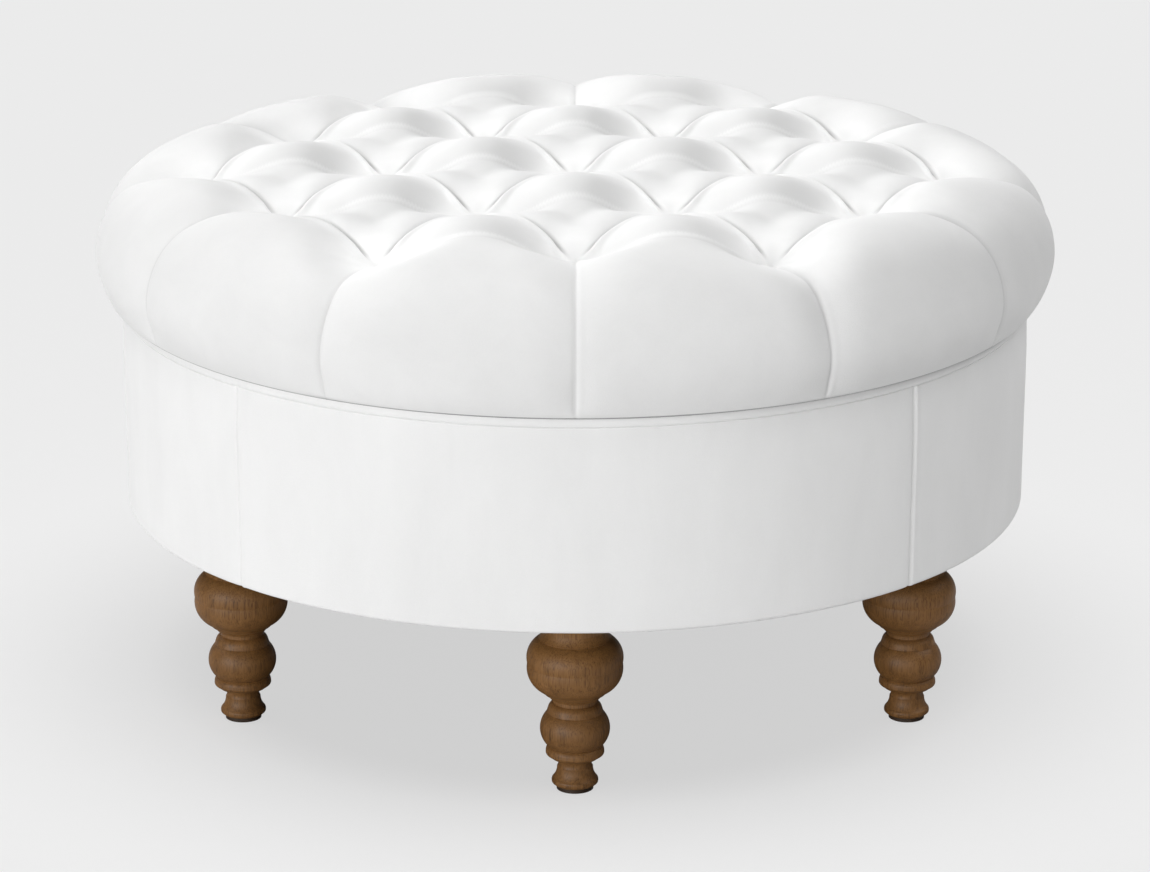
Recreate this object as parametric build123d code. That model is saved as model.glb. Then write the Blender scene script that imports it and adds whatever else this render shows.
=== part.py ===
from build123d import *
import math
import os

# Round footstool with a deep-tufted velvet cushion on a plain covered base and six turned legs.
# Millimetres, +Z up, origin on the floor under the middle, the photographed front towards -Y.

# Whole stool
base_radius = 375.0
base_height = 150.0
base_depth = 178.0
skin_gap = 0.3
overrun = 6.0

# Cloth and boards
velvet = 1.5
dust_cloth = 0.6
board = 18.0
wall_board = 3.0
wall_wadding = 2.6
ring_gap = 0.3

# Cushion outline: the widest line, the rim's crest and the crown
cushion_bulge = 21.5
crease_overhang = 6.0
widest_rise = 34.0
rim_inset = 108.0
rim_rise = 77.5
crown_rise = 8.0
side_turn = 62.0

# Tufts: a triangular lattice in five rows, joined by pleats along its two slanting directions
tuft_pitch = 156.0
tuft_rows = (3, 4, 5, 4, 3)
tuft_depth = 33.0
dimple_reach = 60.0
dimple_lift = 2.5
pleat_depth = 18.5
pleat_reach = 80.0
pleat_lift = 3.0
pit_radius = 7.0
pit_depth = 4.0
rim_share = 1.5

# Radial seams from the outer tufts over the rim to the crease
seam_reach = 26.0
seam_lift = 2.2
seam_depth = 4.5
seam_tail_turn = 82.0

# Seat: deck, foam, hem, ties
deck_inset = 2.0
foam_thickness = 36.0
hem_inner_radius = 345.0
tie_radius = 1.2
tie_hole_gap = 0.3
foam_hole_radius = 5.0
deck_hole_radius = 4.0
knot_radius = 4.5
knot_height = 3.0
washer_radius = 10.0
washer_thickness = 3.0

# Welt under the crease: a flattened cord in a cloth tube, with a flange clamped under the deck;
# its corners are bevelled
welt_cloth = 1.2
welt_height = 9.4
welt_width = 7.2
welt_bevel = 2.4
flange_inner_radius = 350.0

# Carcass
bottom_ring_inner = 262.0
top_ring_inner = 326.0
upright_width = 60.0
upright_thickness = 22.0
upright_inset = 5.0
block_side = 80.0
block_height = 24.0
border_hem = 21.0
dust_overlap = 10.0
panel_count = 4
panel_turn = 45.0

# Legs
leg_count = 6
leg_names = ("front", "front_right", "back_right", "back", "back_left", "front_left")
leg_circle = 314.5
leg_ball = 37.6
leg_top_radius = 24.5
glide_radius = 14.6
glide_thickness = 3.5
glide_pin_radius = 1.5
glide_pin_length = 12.0
scribe_depth = 0.5
scribe_width = 0.8

# Turned outline of a leg: end height as a share of the wood's height, end radius and bulge
# (outward arc height, inward where negative) as shares of the upper ball's radius
leg_start_share = 0.404
leg_turning_shares = (
    (0.008, 0.455, 0.010),
    (0.020, 0.489, 0.012),
    (0.041, 0.463, 0.012),
    (0.102, 0.378, -0.022),
    (0.157, 0.505, -0.085),
    (0.173, 0.590, -0.010),
    (0.190, 0.614, 0.012),
    (0.223, 0.558, 0.018),
    (0.410, 0.593, 0.160),
    (0.434, 0.569, 0.000),
    (0.468, 0.460, 0.022),
    (0.486, 0.460, 0.000),
    (0.498, 0.537, -0.010),
    (0.524, 0.654, -0.012),
    (0.542, 0.729, -0.006),
    (0.690, 1.000, 0.105),
    (0.828, 0.756, 0.105),
    (0.880, 0.652, -0.012),
)
leg_scribe_rows = (8, 16)

# Hardware
bolt_radius = 4.0
bolt_gap = 0.2
bolt_in_leg = 36.0
bolt_above_block = 6.0
nut_barrel_radius = 5.2
nut_flange_radius = 11.0
nut_flange_thickness = 1.5
screw_radius = 2.2
screw_head_radius = 4.2
screw_head_height = 3.0
screw_gap = 0.15
screw_in_upright = 30.0
screw_in_deck = 12.0
screw_through_block = 36.0
screw_spread = 20.0
block_screw_spread = 28.0
deck_screw_inset = 12.0
nail_radius = 0.9
nail_head_radius = 2.2
nail_head_height = 1.0
nail_length = 22.0
nails_per_ring = 12
staple_width = 10.0
staple_wire = 1.2
staple_gauge = 0.6
staple_depth = 9.0
staple_gap = 0.12
dust_staple_count = 36
hem_staple_count = 36

# Heights of the stack
crease_height = base_height + base_depth
ring_bottom = base_height + velvet
ring_top = ring_bottom + board
flange_thickness = welt_cloth + welt_cloth
carcass_top = crease_height - flange_thickness
top_ring_bottom = carcass_top - board
deck_bottom = crease_height + velvet
deck_top = deck_bottom + board
foam_top = deck_top + foam_thickness
dust_inner_bottom = ring_bottom - dust_cloth
dust_rim_bottom = base_height - dust_cloth
leg_top = dust_inner_bottom
welt_bottom = crease_height - welt_height
block_top = ring_top + block_height

# Radii of the base, from the cover inwards
padding_outer = base_radius - velvet - skin_gap
padding_inner = padding_outer - wall_wadding
wall_outer = padding_inner - skin_gap
wall_inner = wall_outer - wall_board
ring_outer = wall_inner - ring_gap
deck_radius = base_radius - deck_inset
welt_inner = padding_inner
welt_outer = welt_inner + welt_width
bevel_loss = 2 - math.sqrt(2)
border_hem_inner = base_radius - border_hem

# Arcs of the cushion's outline
cushion_radius = base_radius + cushion_bulge
widest_height = crease_height + widest_rise
crest_radius = cushion_radius - rim_inset
crest_height = widest_height + rim_rise
cushion_top = crest_height + crown_rise
crown_curve = (crest_radius ** 2 + crown_rise ** 2) / (2 * crown_rise)
crest_turn = 90 - math.degrees(math.asin(crest_radius / crown_curve))
lower_run = cushion_bulge - crease_overhang
lower_curve = (lower_run ** 2 + widest_rise ** 2) / (2 * lower_run)
lower_turn = math.degrees(math.asin(widest_rise / lower_curve))


def shoulder_curves():
    """Radii of the tight side arc and of the wide shoulder arc that meets the crown."""
    side = math.radians(side_turn)
    crest = math.radians(crest_turn)
    side_run, side_climb = 1 - math.cos(side), math.sin(side)
    wide_run, wide_climb = math.cos(side) - math.cos(crest), math.sin(crest) - math.sin(side)
    scale = side_run * wide_climb - wide_run * side_climb
    tight = (rim_inset * wide_climb - wide_run * rim_rise) / scale
    wide = (side_run * rim_rise - rim_inset * side_climb) / scale
    return tight, wide


side_curve, shoulder_curve = shoulder_curves()
side_centre = cushion_radius - side_curve
shoulder_centre = side_centre + (side_curve - shoulder_curve) * math.cos(math.radians(side_turn))
shoulder_base = widest_height + (side_curve - shoulder_curve) * math.sin(math.radians(side_turn))
row_step = tuft_pitch * math.sin(math.radians(60))


def around(count, start=0.0):
    """Angles of a count of places spread evenly round the stool."""
    return [start + place * 360 / count for place in range(count)]


# Places of the legs, of the posts between them and of the small fasteners
leg_angles = around(leg_count, -90)
upright_angles = around(leg_count, -90 + 180 / leg_count)
tie_hole = tie_radius + tie_hole_gap
hem_staple_radius = (hem_inner_radius + flange_inner_radius) / 2
dust_staple_radius = border_hem_inner + dust_overlap / 2
nail_sink = wall_outer * (1 - math.cos(math.asin((nail_head_radius + screw_gap) / wall_outer)))


def polar(radius, angle, height=0.0):
    """Location at a radius and angle, turned so that its X axis points outwards."""
    return Rot(0, 0, angle) * Pos(radius, 0, height)


def turned(outline, sweep=360):
    """Solid of revolution about the stool's axis from edges drawn as radius and height."""
    return revolve(Plane.XZ * make_face(outline), Axis.Z, sweep)


def ring(inner, outer, bottom, top, sweep=360):
    """Plain ring of rectangular section."""
    corners = ((inner, bottom), (outer, bottom), (outer, top), (inner, top))
    return turned(Polyline(*corners, close=True), sweep)


def disc(radius, bottom, top):
    """Upright cylinder between two heights."""
    return Pos(0, 0, bottom) * Cylinder(radius, top - bottom, align=(Align.CENTER, Align.CENTER, Align.MIN))


def group(solids):
    """One node of separate solids."""
    return Compound([solid.solid() for solid in solids])


def skin_arc(turn):
    """Centre and radius of the outline's arc whose outward normal rises by a turn in degrees."""
    if turn < 0:
        return cushion_radius - lower_curve, widest_height, lower_curve
    if turn <= side_turn:
        return side_centre, widest_height, side_curve
    if turn <= crest_turn:
        return shoulder_centre, shoulder_base, shoulder_curve
    return 0, cushion_top - crown_curve, crown_curve


def skin_point(turn, inset=0.0):
    """Radius and height of the cushion's outline, sunk by an inset along its normal."""
    centre, base, curve = skin_arc(turn)
    angle = math.radians(turn)
    return centre + (curve - inset) * math.cos(angle), base + (curve - inset) * math.sin(angle)


def skin_turn(radius):
    """Rise of the outward normal on the cushion's upper face at a radius."""
    if radius <= crest_radius:
        return math.degrees(math.acos(radius / crown_curve))
    return math.degrees(math.acos((radius - shoulder_centre) / shoulder_curve))


def cushion_blank(inset):
    """Cushion before it is tufted: crown, rounded shoulder and drawn-in side."""
    floor = crease_height + inset
    start_turn = -math.degrees(math.asin((widest_rise - inset) / (lower_curve - inset)))
    turns = (start_turn, 0, side_turn, crest_turn, 90)
    outline = [Line((0, floor), skin_point(start_turn, inset))]
    for low, high in zip(turns, turns[1:]):
        middle = skin_point((low + high) / 2, inset)
        outline.append(ThreePointArc(outline[-1] @ 1, middle, skin_point(high, inset)))
    outline.append(Line(outline[-1] @ 1, (0, floor)))
    return turned(outline)


def notch_curve(depth, reach, lift):
    """Radius of the rounded cheek that rises from a pleat's valley to its brow."""
    return (reach ** 2 + (depth + lift) ** 2) / (2 * (depth + lift))


def notch_points(depth, reach, lift, inset):
    """Valley, middle and brow of a pleat's cheek, as distances across and out of the surface."""
    curve = notch_curve(depth, reach, lift)
    centre = lift - curve
    valley = centre + math.sqrt((curve - inset) ** 2 - reach ** 2)
    tilt = (math.pi / 2 + math.atan2(valley - centre, -reach)) / 2
    middle = (reach + (curve - inset) * math.cos(tilt), centre + (curve - inset) * math.sin(tilt))
    return (0, valley), middle, (reach, lift - inset)


def notch(place, across, out, depth, reach, lift, inset):
    """Cross-section of a pleat: two rounded cheeks that meet in a sharp valley."""
    (_, valley), middle, brow = notch_points(depth, reach, lift, inset)
    bottom = place + out * valley
    cheeks, heads = [], []
    for side in (across * -1, across):
        edge = place + side * brow[0] + out * brow[1]
        cheeks.append(ThreePointArc(bottom, place + side * middle[0] + out * middle[1], edge))
        heads.append(Line(edge, place + side * reach + out * (lift + overrun)))
    lid = Line(heads[0] @ 1, heads[1] @ 1)
    return Face(Wire([cheeks[0], heads[0], lid, heads[1], cheeks[1]]))


def pleat(row, inset):
    """Cutter for one straight pleat along a row of tufts, leaning with the crown below it."""
    half = (tuft_rows[row] - 1) / 2 * tuft_pitch
    start = Vector(-half, 0, crown_curve)
    face = notch(start, Vector(0, 1, 0), Vector(0, 0, 1), pleat_depth, pleat_reach, pleat_lift, inset)
    offset = (row - len(tuft_rows) // 2) * row_step
    lean = math.degrees(math.asin(offset / crown_curve))
    return Pos(0, 0, cushion_top - crown_curve) * Rot(-lean, 0, 0) * extrude(face, 2 * half, dir=(1, 0, 0))


def dimple(x, y, inset):
    """Cutter for the hollow round one tuft, square to the crown, with a flat pit in its middle."""
    valley, middle, brow = notch_points(tuft_depth, dimple_reach, dimple_lift, inset)
    head = dimple_lift + overrun
    cheek = ThreePointArc(valley, middle, brow)
    frame = Polyline(brow, (dimple_reach, head), (0, head), valley)
    turn = math.radians(skin_turn(math.hypot(x, y)))
    spin = math.atan2(y, x)
    normal = Vector(math.cos(turn) * math.cos(spin), math.cos(turn) * math.sin(spin), math.sin(turn))
    place = Vector(x, y, skin_point(math.degrees(turn))[1])
    pit = Pos(x, y, 0) * disc(pit_radius + inset, pit_bottom(x, y, inset), place.Z)
    return Plane(place, z_dir=normal) * turned([cheek, frame]) + pit


def seam(tuft_radius, inset):
    """Cutter for one radial seam from an outer tuft over the rim and down to the crease."""
    spread = math.hypot(seam_reach, seam_depth + seam_lift) / seam_reach
    shapes = []
    for low, high in ((-seam_tail_turn, 0), (0, side_turn), (side_turn, skin_turn(tuft_radius))):
        centre, base, curve = skin_arc((low + high) / 2)
        valley = curve - seam_depth - inset * spread
        brow = curve + seam_lift - inset * spread
        corners = [(valley, 0), (brow, seam_reach), (curve + overrun, seam_reach)]
        corners += [(curve + overrun, -seam_reach), (brow, -seam_reach)]
        face = Plane.XY * make_face(Polyline(*corners, close=True))
        hub = Axis((0, 0, 0), (0, -1, 0))
        shapes.append(Pos(centre, 0, base) * revolve(Rot(0, -low, 0) * face, hub, high - low))
    return shapes[0] + shapes[1:]


def tuft_places():
    """Plan positions of the tufts."""
    places = []
    for row, count in enumerate(tuft_rows):
        y = (row - len(tuft_rows) // 2) * row_step
        places += [((place - (count - 1) / 2) * tuft_pitch, y) for place in range(count)]
    return places


def pit_bottom(x, y, inset=0.0):
    """Height of the flat bottom of a tuft's pit."""
    crown = skin_point(skin_turn(math.hypot(x, y)))[1]
    return crown - tuft_depth - pit_depth - inset


def tufted_form(inset):
    """Tufted cushion as one solid, sunk by an inset from the velvet's outer face."""
    places = tuft_places()
    rows = range(len(tuft_rows))
    rim = [place for place in places if math.hypot(*place) > rim_share * tuft_pitch]
    form = cushion_blank(inset)
    form -= [Rot(0, 0, math.degrees(math.atan2(y, x))) * seam(math.hypot(x, y), inset) for x, y in rim]
    for turn in (60, -60):
        form -= [Rot(0, 0, turn) * pleat(row, inset) for row in rows]
    return form - [dimple(x, y, inset) for x, y in places]


def seat_cover():
    """Velvet skin of the cushion, with a hem turned under the deck and a stitch hole at each tuft."""
    skin = tufted_form(0) - tufted_form(velvet)
    skin -= disc(hem_inner_radius, crease_height - overrun, deck_bottom)
    skin -= [Pos(x, y, 0) * disc(tie_hole, crease_height, cushion_top) for x, y in tuft_places()]
    return skin - staple_ring(hem_staple_count, hem_staple_radius, crease_height, staple_gap)


def seat_filling():
    """Soft filling over the foam and round the deck's edge, drawn down at the tufts."""
    sunk = velvet + skin_gap
    form = tufted_form(sunk) - disc(cushion_radius, crease_height, deck_bottom)
    form -= disc(deck_radius + skin_gap, crease_height, foam_top)
    return form - [Pos(x, y, 0) * disc(tie_hole, crease_height, cushion_top) for x, y in tuft_places()]


def seat_foam():
    """Firm foam slab with a bored hole for each tie."""
    slab = disc(deck_radius, deck_top, foam_top)
    return slab - [Pos(x, y, 0) * disc(foam_hole_radius, deck_bottom, cushion_top) for x, y in tuft_places()]


def seat_deck():
    """Plywood deck under the foam with a hole for each tie and for the screws and staples."""
    deck = disc(deck_radius, deck_bottom, deck_top)
    deck -= [Pos(x, y, 0) * disc(deck_hole_radius, crease_height, foam_top) for x, y in tuft_places()]
    deck -= deck_screws(screw_gap)
    return deck - staple_ring(hem_staple_count, hem_staple_radius, crease_height, staple_gap)


def tuft_ties():
    """Waxed twine at each tuft, from the knot in its pit to the knot under its washer."""
    ties = []
    low = deck_bottom - washer_thickness
    for x, y in tuft_places():
        top = pit_bottom(x, y)
        tie = disc(tie_radius, low - knot_height, top + knot_height)
        tie += disc(knot_radius, top, top + knot_height) + disc(knot_radius, low - knot_height, low)
        ties.append(Pos(x, y, 0) * tie)
    return group(ties)


def tuft_washers():
    """Washer under the deck for each tie."""
    washer = ring(tie_hole, washer_radius, deck_bottom - washer_thickness, deck_bottom)
    return group([Pos(x, y, 0) * washer for x, y in tuft_places()])


def welt_form(inset):
    """Welt without its flange, sunk by an inset from the cloth's outer face."""
    inner, outer = welt_inner + inset, welt_outer - inset
    bottom, top = welt_bottom + inset, crease_height - inset
    bevel = welt_bevel - inset * bevel_loss
    return turned(Polyline(
        (inner, bottom + bevel), (inner + bevel, bottom), (outer - bevel, bottom), (outer, bottom + bevel),
        (outer, top - bevel), (outer - bevel, top), (inner + bevel, top), (inner, top - bevel), close=True))


def piping_cover():
    """Cloth tube of the welt with the flange that the deck clamps on the carcass."""
    flange = ring(flange_inner_radius, welt_inner + welt_bevel, carcass_top, crease_height)
    return welt_form(0) + flange - welt_form(welt_cloth)


def piping_cord():
    """Cord inside the welt."""
    return welt_form(welt_cloth + skin_gap)


def border_cover(angle):
    """One velvet panel of the base, with a lip under the welt and a hem turned under the carcass."""
    inner = base_radius - velvet
    outline = Polyline(
        (border_hem_inner, base_height), (base_radius, base_height), (base_radius, welt_bottom),
        (padding_inner, welt_bottom), (padding_inner, welt_bottom - velvet), (inner, welt_bottom - velvet),
        (inner, ring_bottom), (border_hem_inner, ring_bottom), close=True)
    panel = Rot(0, 0, angle) * turned(outline, 360 / panel_count)
    return panel - staple_ring(dust_staple_count, dust_staple_radius, dust_rim_bottom, staple_gap)


def wall_padding():
    """Thin wadding round the side wall, under the border cover."""
    return ring(padding_inner, padding_outer, ring_bottom, welt_bottom - velvet)


def side_wall(angle):
    """Half of the bent wall that closes the carcass."""
    half = Rot(0, 0, angle) * ring(wall_inner, wall_outer, ring_bottom, carcass_top, 180)
    return half - wall_nails(screw_gap)


def bottom_ring():
    """Plywood ring that carries the legs."""
    shape = ring(bottom_ring_inner, ring_outer, ring_bottom, ring_top)
    shape -= frame_screws(screw_gap)
    shape -= block_screws(screw_gap)
    shape -= wall_nails(screw_gap)
    shape -= [polar(leg_circle, turn) * disc(nut_barrel_radius + bolt_gap, base_height, ring_top + overrun)
              for turn in leg_angles]
    return shape - staple_ring(dust_staple_count, dust_staple_radius, dust_rim_bottom, staple_gap)


def top_ring():
    """Plywood ring that carries the deck."""
    shape = ring(top_ring_inner, ring_outer, top_ring_bottom, carcass_top)
    shape -= frame_screws(screw_gap)
    shape -= deck_screws(screw_gap)
    return shape - wall_nails(screw_gap)


def upright(angle):
    """Post between the rings, held by two screws at each end."""
    middle = ring_outer - upright_inset - upright_thickness / 2
    height = top_ring_bottom - ring_top
    post = polar(middle, angle, ring_top + height / 2) * Box(upright_thickness, upright_width, height)
    return post - frame_screws(screw_gap)


def leg_block(angle):
    """Hardwood block on the bottom ring over one leg, bored for the tee nut."""
    block = polar(leg_circle, angle, ring_top + block_height / 2) * Box(block_side, block_side, block_height)
    block -= polar(leg_circle, angle) * disc(nut_barrel_radius + bolt_gap, ring_bottom, block_top + overrun)
    return block - block_screws(screw_gap)


def tee_nuts():
    """Tee nut in each leg block, its flange on the block's top."""
    nut = ring(bolt_radius + bolt_gap, nut_barrel_radius, ring_top, block_top)
    nut += ring(bolt_radius + bolt_gap, nut_flange_radius, block_top, block_top + nut_flange_thickness)
    return group([polar(leg_circle, angle) * nut for angle in leg_angles])


def hanger_bolts():
    """Bolt from each leg up through the ring and its tee nut."""
    bolt = disc(bolt_radius, leg_top - bolt_in_leg, block_top + bolt_above_block)
    return group([polar(leg_circle, angle) * bolt for angle in leg_angles])


def leg_outline():
    """Half outline of a turned leg, from its foot up, with scribed lines on the two balls."""
    height = leg_top - glide_thickness
    point = (leg_start_share * leg_ball, glide_thickness)
    edges = [Line((0, glide_thickness), point)]
    for row, (rise_share, radius_share, bulge_share) in enumerate(leg_turning_shares):
        end = (radius_share * leg_ball, glide_thickness + rise_share * height)
        if bulge_share:
            edges.append(SagittaArc(point, end, -bulge_share * leg_ball))
        else:
            edges.append(Line(point, end))
        point = end
        if row in leg_scribe_rows:
            low = (point[0] - scribe_depth, point[1] + scribe_width / 2)
            high = (point[0], point[1] + scribe_width)
            edges += [Line(point, low), Line(low, high)]
            point = high
    shoulder = (leg_top_radius, point[1])
    edges += [Line(point, shoulder), Line(shoulder, (leg_top_radius, leg_top))]
    edges += [Line((leg_top_radius, leg_top), (0, leg_top)), Line((0, leg_top), (0, glide_thickness))]
    return edges


def leg(angle):
    """Turned leg, bored for its hanger bolt and for the pin of its glide."""
    wood = turned(leg_outline())
    wood -= disc(bolt_radius + bolt_gap, leg_top - bolt_in_leg - bolt_gap, leg_top + overrun)
    pin_top = glide_thickness + glide_pin_length
    wood -= disc(glide_pin_radius + screw_gap, 0, pin_top + screw_gap)
    return polar(leg_circle, angle) * wood


def foot_glide(angle):
    """Dark glide under one leg, with the pin that holds it."""
    glide = disc(glide_radius, 0, glide_thickness)
    glide += disc(glide_pin_radius, 0, glide_thickness + glide_pin_length)
    return polar(leg_circle, angle) * glide


def screw(length, grow=0.0):
    """Countersunk screw that points up, its head's face at height zero."""
    head, shank = screw_head_radius + grow, screw_radius + grow
    points = ((0, -grow), (head, -grow), (shank, screw_head_height), (shank, length + grow), (0, length + grow))
    return turned(Polyline(*points, close=True))


def frame_screws(grow=0.0):
    """Screws through both rings into the ends of the uprights."""
    middle = ring_outer - upright_inset - upright_thickness / 2
    part = screw(board + screw_in_upright, grow)
    screws = []
    for angle in upright_angles:
        for side in (-screw_spread, screw_spread):
            screws.append(Rot(0, 0, angle) * Pos(middle, side, ring_bottom) * part)
            screws.append(Rot(0, 0, angle) * Pos(middle, side, carcass_top) * Rot(180, 0, 0) * part)
    return group(screws)


def block_screws(grow=0.0):
    """Screws through the leg blocks into the bottom ring."""
    part = screw(screw_through_block, grow)
    return group([
        Rot(0, 0, angle) * Pos(leg_circle, side, block_top) * Rot(180, 0, 0) * part
        for angle in leg_angles for side in (-block_screw_spread, block_screw_spread)])


def deck_screws(grow=0.0):
    """Screws through the top ring up into the deck."""
    part = screw(deck_bottom - top_ring_bottom + screw_in_deck, grow)
    place = top_ring_inner + deck_screw_inset
    return group([polar(place, angle, top_ring_bottom) * part for angle in leg_angles])


def wall_nails(grow=0.0):
    """Nails through the side wall into the edges of both rings, their heads flush."""
    head, shank = nail_head_radius + grow, nail_radius + grow
    nail = turned(Polyline(
        (0, -grow), (head, -grow), (head, nail_head_height + grow), (shank, nail_head_height + grow),
        (shank, nail_length + grow), (0, nail_length + grow), close=True))
    nails = []
    for height in (ring_bottom + board / 2, carcass_top - board / 2):
        for angle in around(nails_per_ring, 180 / nails_per_ring):
            nails.append(polar(wall_outer - nail_sink, angle, height) * Rot(0, -90, 0) * nail)
    return group(nails)


def staple_ring(count, radius, height, grow=0.0):
    """Ring of staples driven up from a height, their crowns just below it."""
    crown_size = (staple_wire, staple_width, staple_gauge)
    crown = Pos(0, 0, -staple_gauge / 2) * Box(*(size + 2 * grow for size in crown_size))
    prong_size = (staple_wire, staple_gauge, staple_depth + staple_gauge)
    prong = Box(*(size + 2 * grow for size in prong_size))
    lift = (staple_depth - staple_gauge) / 2
    shift = (staple_width - staple_gauge) / 2
    staple = crown + Pos(0, shift, lift) * prong + Pos(0, -shift, lift) * prong
    return group([polar(radius, angle, height) * staple for angle in around(count)])


def dust_cover():
    """Thin cloth under the carcass, over the hem, with a hole for each bolt."""
    step_outer = border_hem_inner - skin_gap
    step_inner = step_outer - dust_cloth
    rim = border_hem_inner + dust_overlap
    outline = Polyline(
        (0, dust_inner_bottom), (step_inner, dust_inner_bottom), (step_inner, dust_rim_bottom),
        (rim, dust_rim_bottom), (rim, base_height), (step_outer, base_height),
        (step_outer, ring_bottom), (0, ring_bottom), close=True)
    cloth = turned(outline)
    cloth -= [polar(leg_circle, turn) * disc(bolt_radius + bolt_gap, 0, ring_top) for turn in leg_angles]
    return cloth - staple_ring(dust_staple_count, dust_staple_radius, dust_rim_bottom, staple_gap)


def build():
    """All sub-parts by name."""
    parts = {
        "seat_cover": seat_cover(), "seat_filling": seat_filling(), "seat_foam": seat_foam(),
        "seat_deck": seat_deck(), "tuft_ties": tuft_ties(), "tuft_washers": tuft_washers(),
        "seat_cover_staples": staple_ring(hem_staple_count, hem_staple_radius, crease_height),
        "piping_cover": piping_cover(), "piping_cord": piping_cord(),
        "wall_padding": wall_padding(), "side_wall_front": side_wall(180), "side_wall_back": side_wall(0),
        "wall_nails": wall_nails(), "top_ring": top_ring(), "bottom_ring": bottom_ring(),
        "frame_screws": frame_screws(), "deck_screws": deck_screws(), "leg_block_screws": block_screws(),
        "tee_nuts": tee_nuts(), "hanger_bolts": hanger_bolts(), "dust_cover": dust_cover(),
        "dust_cover_staples": staple_ring(dust_staple_count, dust_staple_radius, dust_rim_bottom),
    }
    for name, angle in zip(("right", "back", "left", "front"), around(panel_count, -panel_turn)):
        parts["border_cover_" + name] = border_cover(angle)
    for name, angle, between in zip(leg_names, leg_angles, upright_angles):
        parts["leg_" + name] = leg(angle)
        parts["foot_glide_" + name] = foot_glide(angle)
        parts["leg_block_" + name] = leg_block(angle)
        parts["upright_" + name] = upright(between)
    return parts


if __name__ == "__main__":
    os.makedirs("parts", exist_ok=True)
    for node, shape in build().items():
        export_step(shape, "parts/" + node + ".step")
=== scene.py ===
import logging
import math
from dataclasses import dataclass, field
from enum import Enum
from typing import Iterable, Sequence

import bpy
import numpy as np
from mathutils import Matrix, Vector


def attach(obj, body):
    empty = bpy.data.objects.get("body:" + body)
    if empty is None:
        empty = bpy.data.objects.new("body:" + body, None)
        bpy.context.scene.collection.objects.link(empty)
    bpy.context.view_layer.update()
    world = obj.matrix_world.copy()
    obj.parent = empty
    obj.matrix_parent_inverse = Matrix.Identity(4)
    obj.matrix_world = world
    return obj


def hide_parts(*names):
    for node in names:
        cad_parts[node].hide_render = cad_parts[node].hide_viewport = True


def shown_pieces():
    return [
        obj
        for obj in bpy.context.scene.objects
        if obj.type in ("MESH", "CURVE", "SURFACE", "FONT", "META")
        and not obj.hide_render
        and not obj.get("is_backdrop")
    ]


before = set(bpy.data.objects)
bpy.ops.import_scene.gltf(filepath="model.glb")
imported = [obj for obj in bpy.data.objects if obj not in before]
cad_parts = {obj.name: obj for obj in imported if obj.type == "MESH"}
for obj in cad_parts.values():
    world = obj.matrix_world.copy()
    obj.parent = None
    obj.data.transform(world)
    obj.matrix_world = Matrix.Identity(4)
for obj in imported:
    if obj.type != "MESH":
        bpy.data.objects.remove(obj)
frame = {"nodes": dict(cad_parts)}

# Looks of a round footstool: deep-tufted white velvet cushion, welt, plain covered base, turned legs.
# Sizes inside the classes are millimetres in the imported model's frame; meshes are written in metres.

MM = 0.001
FULL_TURN = 2 * math.pi
Array = np.ndarray
Colour = tuple[float, float, float]
Socket = bpy.types.NodeSocket
log = logging.getLogger("footstool")
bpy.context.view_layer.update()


class Slot(Enum):
    """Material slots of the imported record."""

    VELVET = "white_velvet"
    FIBRE = "fibre_filling"
    FOAM = "foam"
    TWINE = "twine"
    FIBRE_BOARD = "fibre_board"
    CAMBRIC = "black_cambric"
    PLYWOOD = "plywood"
    WOOD = "brown_wood"
    PLASTIC = "dark_plastic"
    ZINC = "zinc_steel"
    WIRE = "steel_wire"


class Nap(Enum):
    """Which way the velvet's pile has been brushed."""

    LYING = "lying"
    UPRIGHT = "upright"


class Graph:
    """One node tree, started empty."""

    def __init__(self, tree: bpy.types.NodeTree) -> None:
        """Empty the tree and keep it."""
        self.tree = tree
        tree.nodes.clear()

    def add(self, kind: str, feeds: dict[int | str, object] | None = None,
            **settings: object) -> bpy.types.Node:
        """Add a node, set its properties and feed its inputs.

        Args:
            kind: Node type.
            feeds: Sockets or values by input name or index.
            settings: Properties of the node.

        Returns:
            The new node.
        """
        node = self.tree.nodes.new(kind)
        for key, value in settings.items():
            setattr(node, key, value)
        for key, value in (feeds or {}).items():
            if isinstance(value, Socket):
                self.tree.links.new(value, node.inputs[key])
            else:
                node.inputs[key].default_value = value
        return node

    def calc(self, operation: str, first: object, second: object = 0.0) -> Socket:
        """Arithmetic on two values."""
        return self.add("ShaderNodeMath", {0: first, 1: second}, operation=operation).outputs[0]


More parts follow.
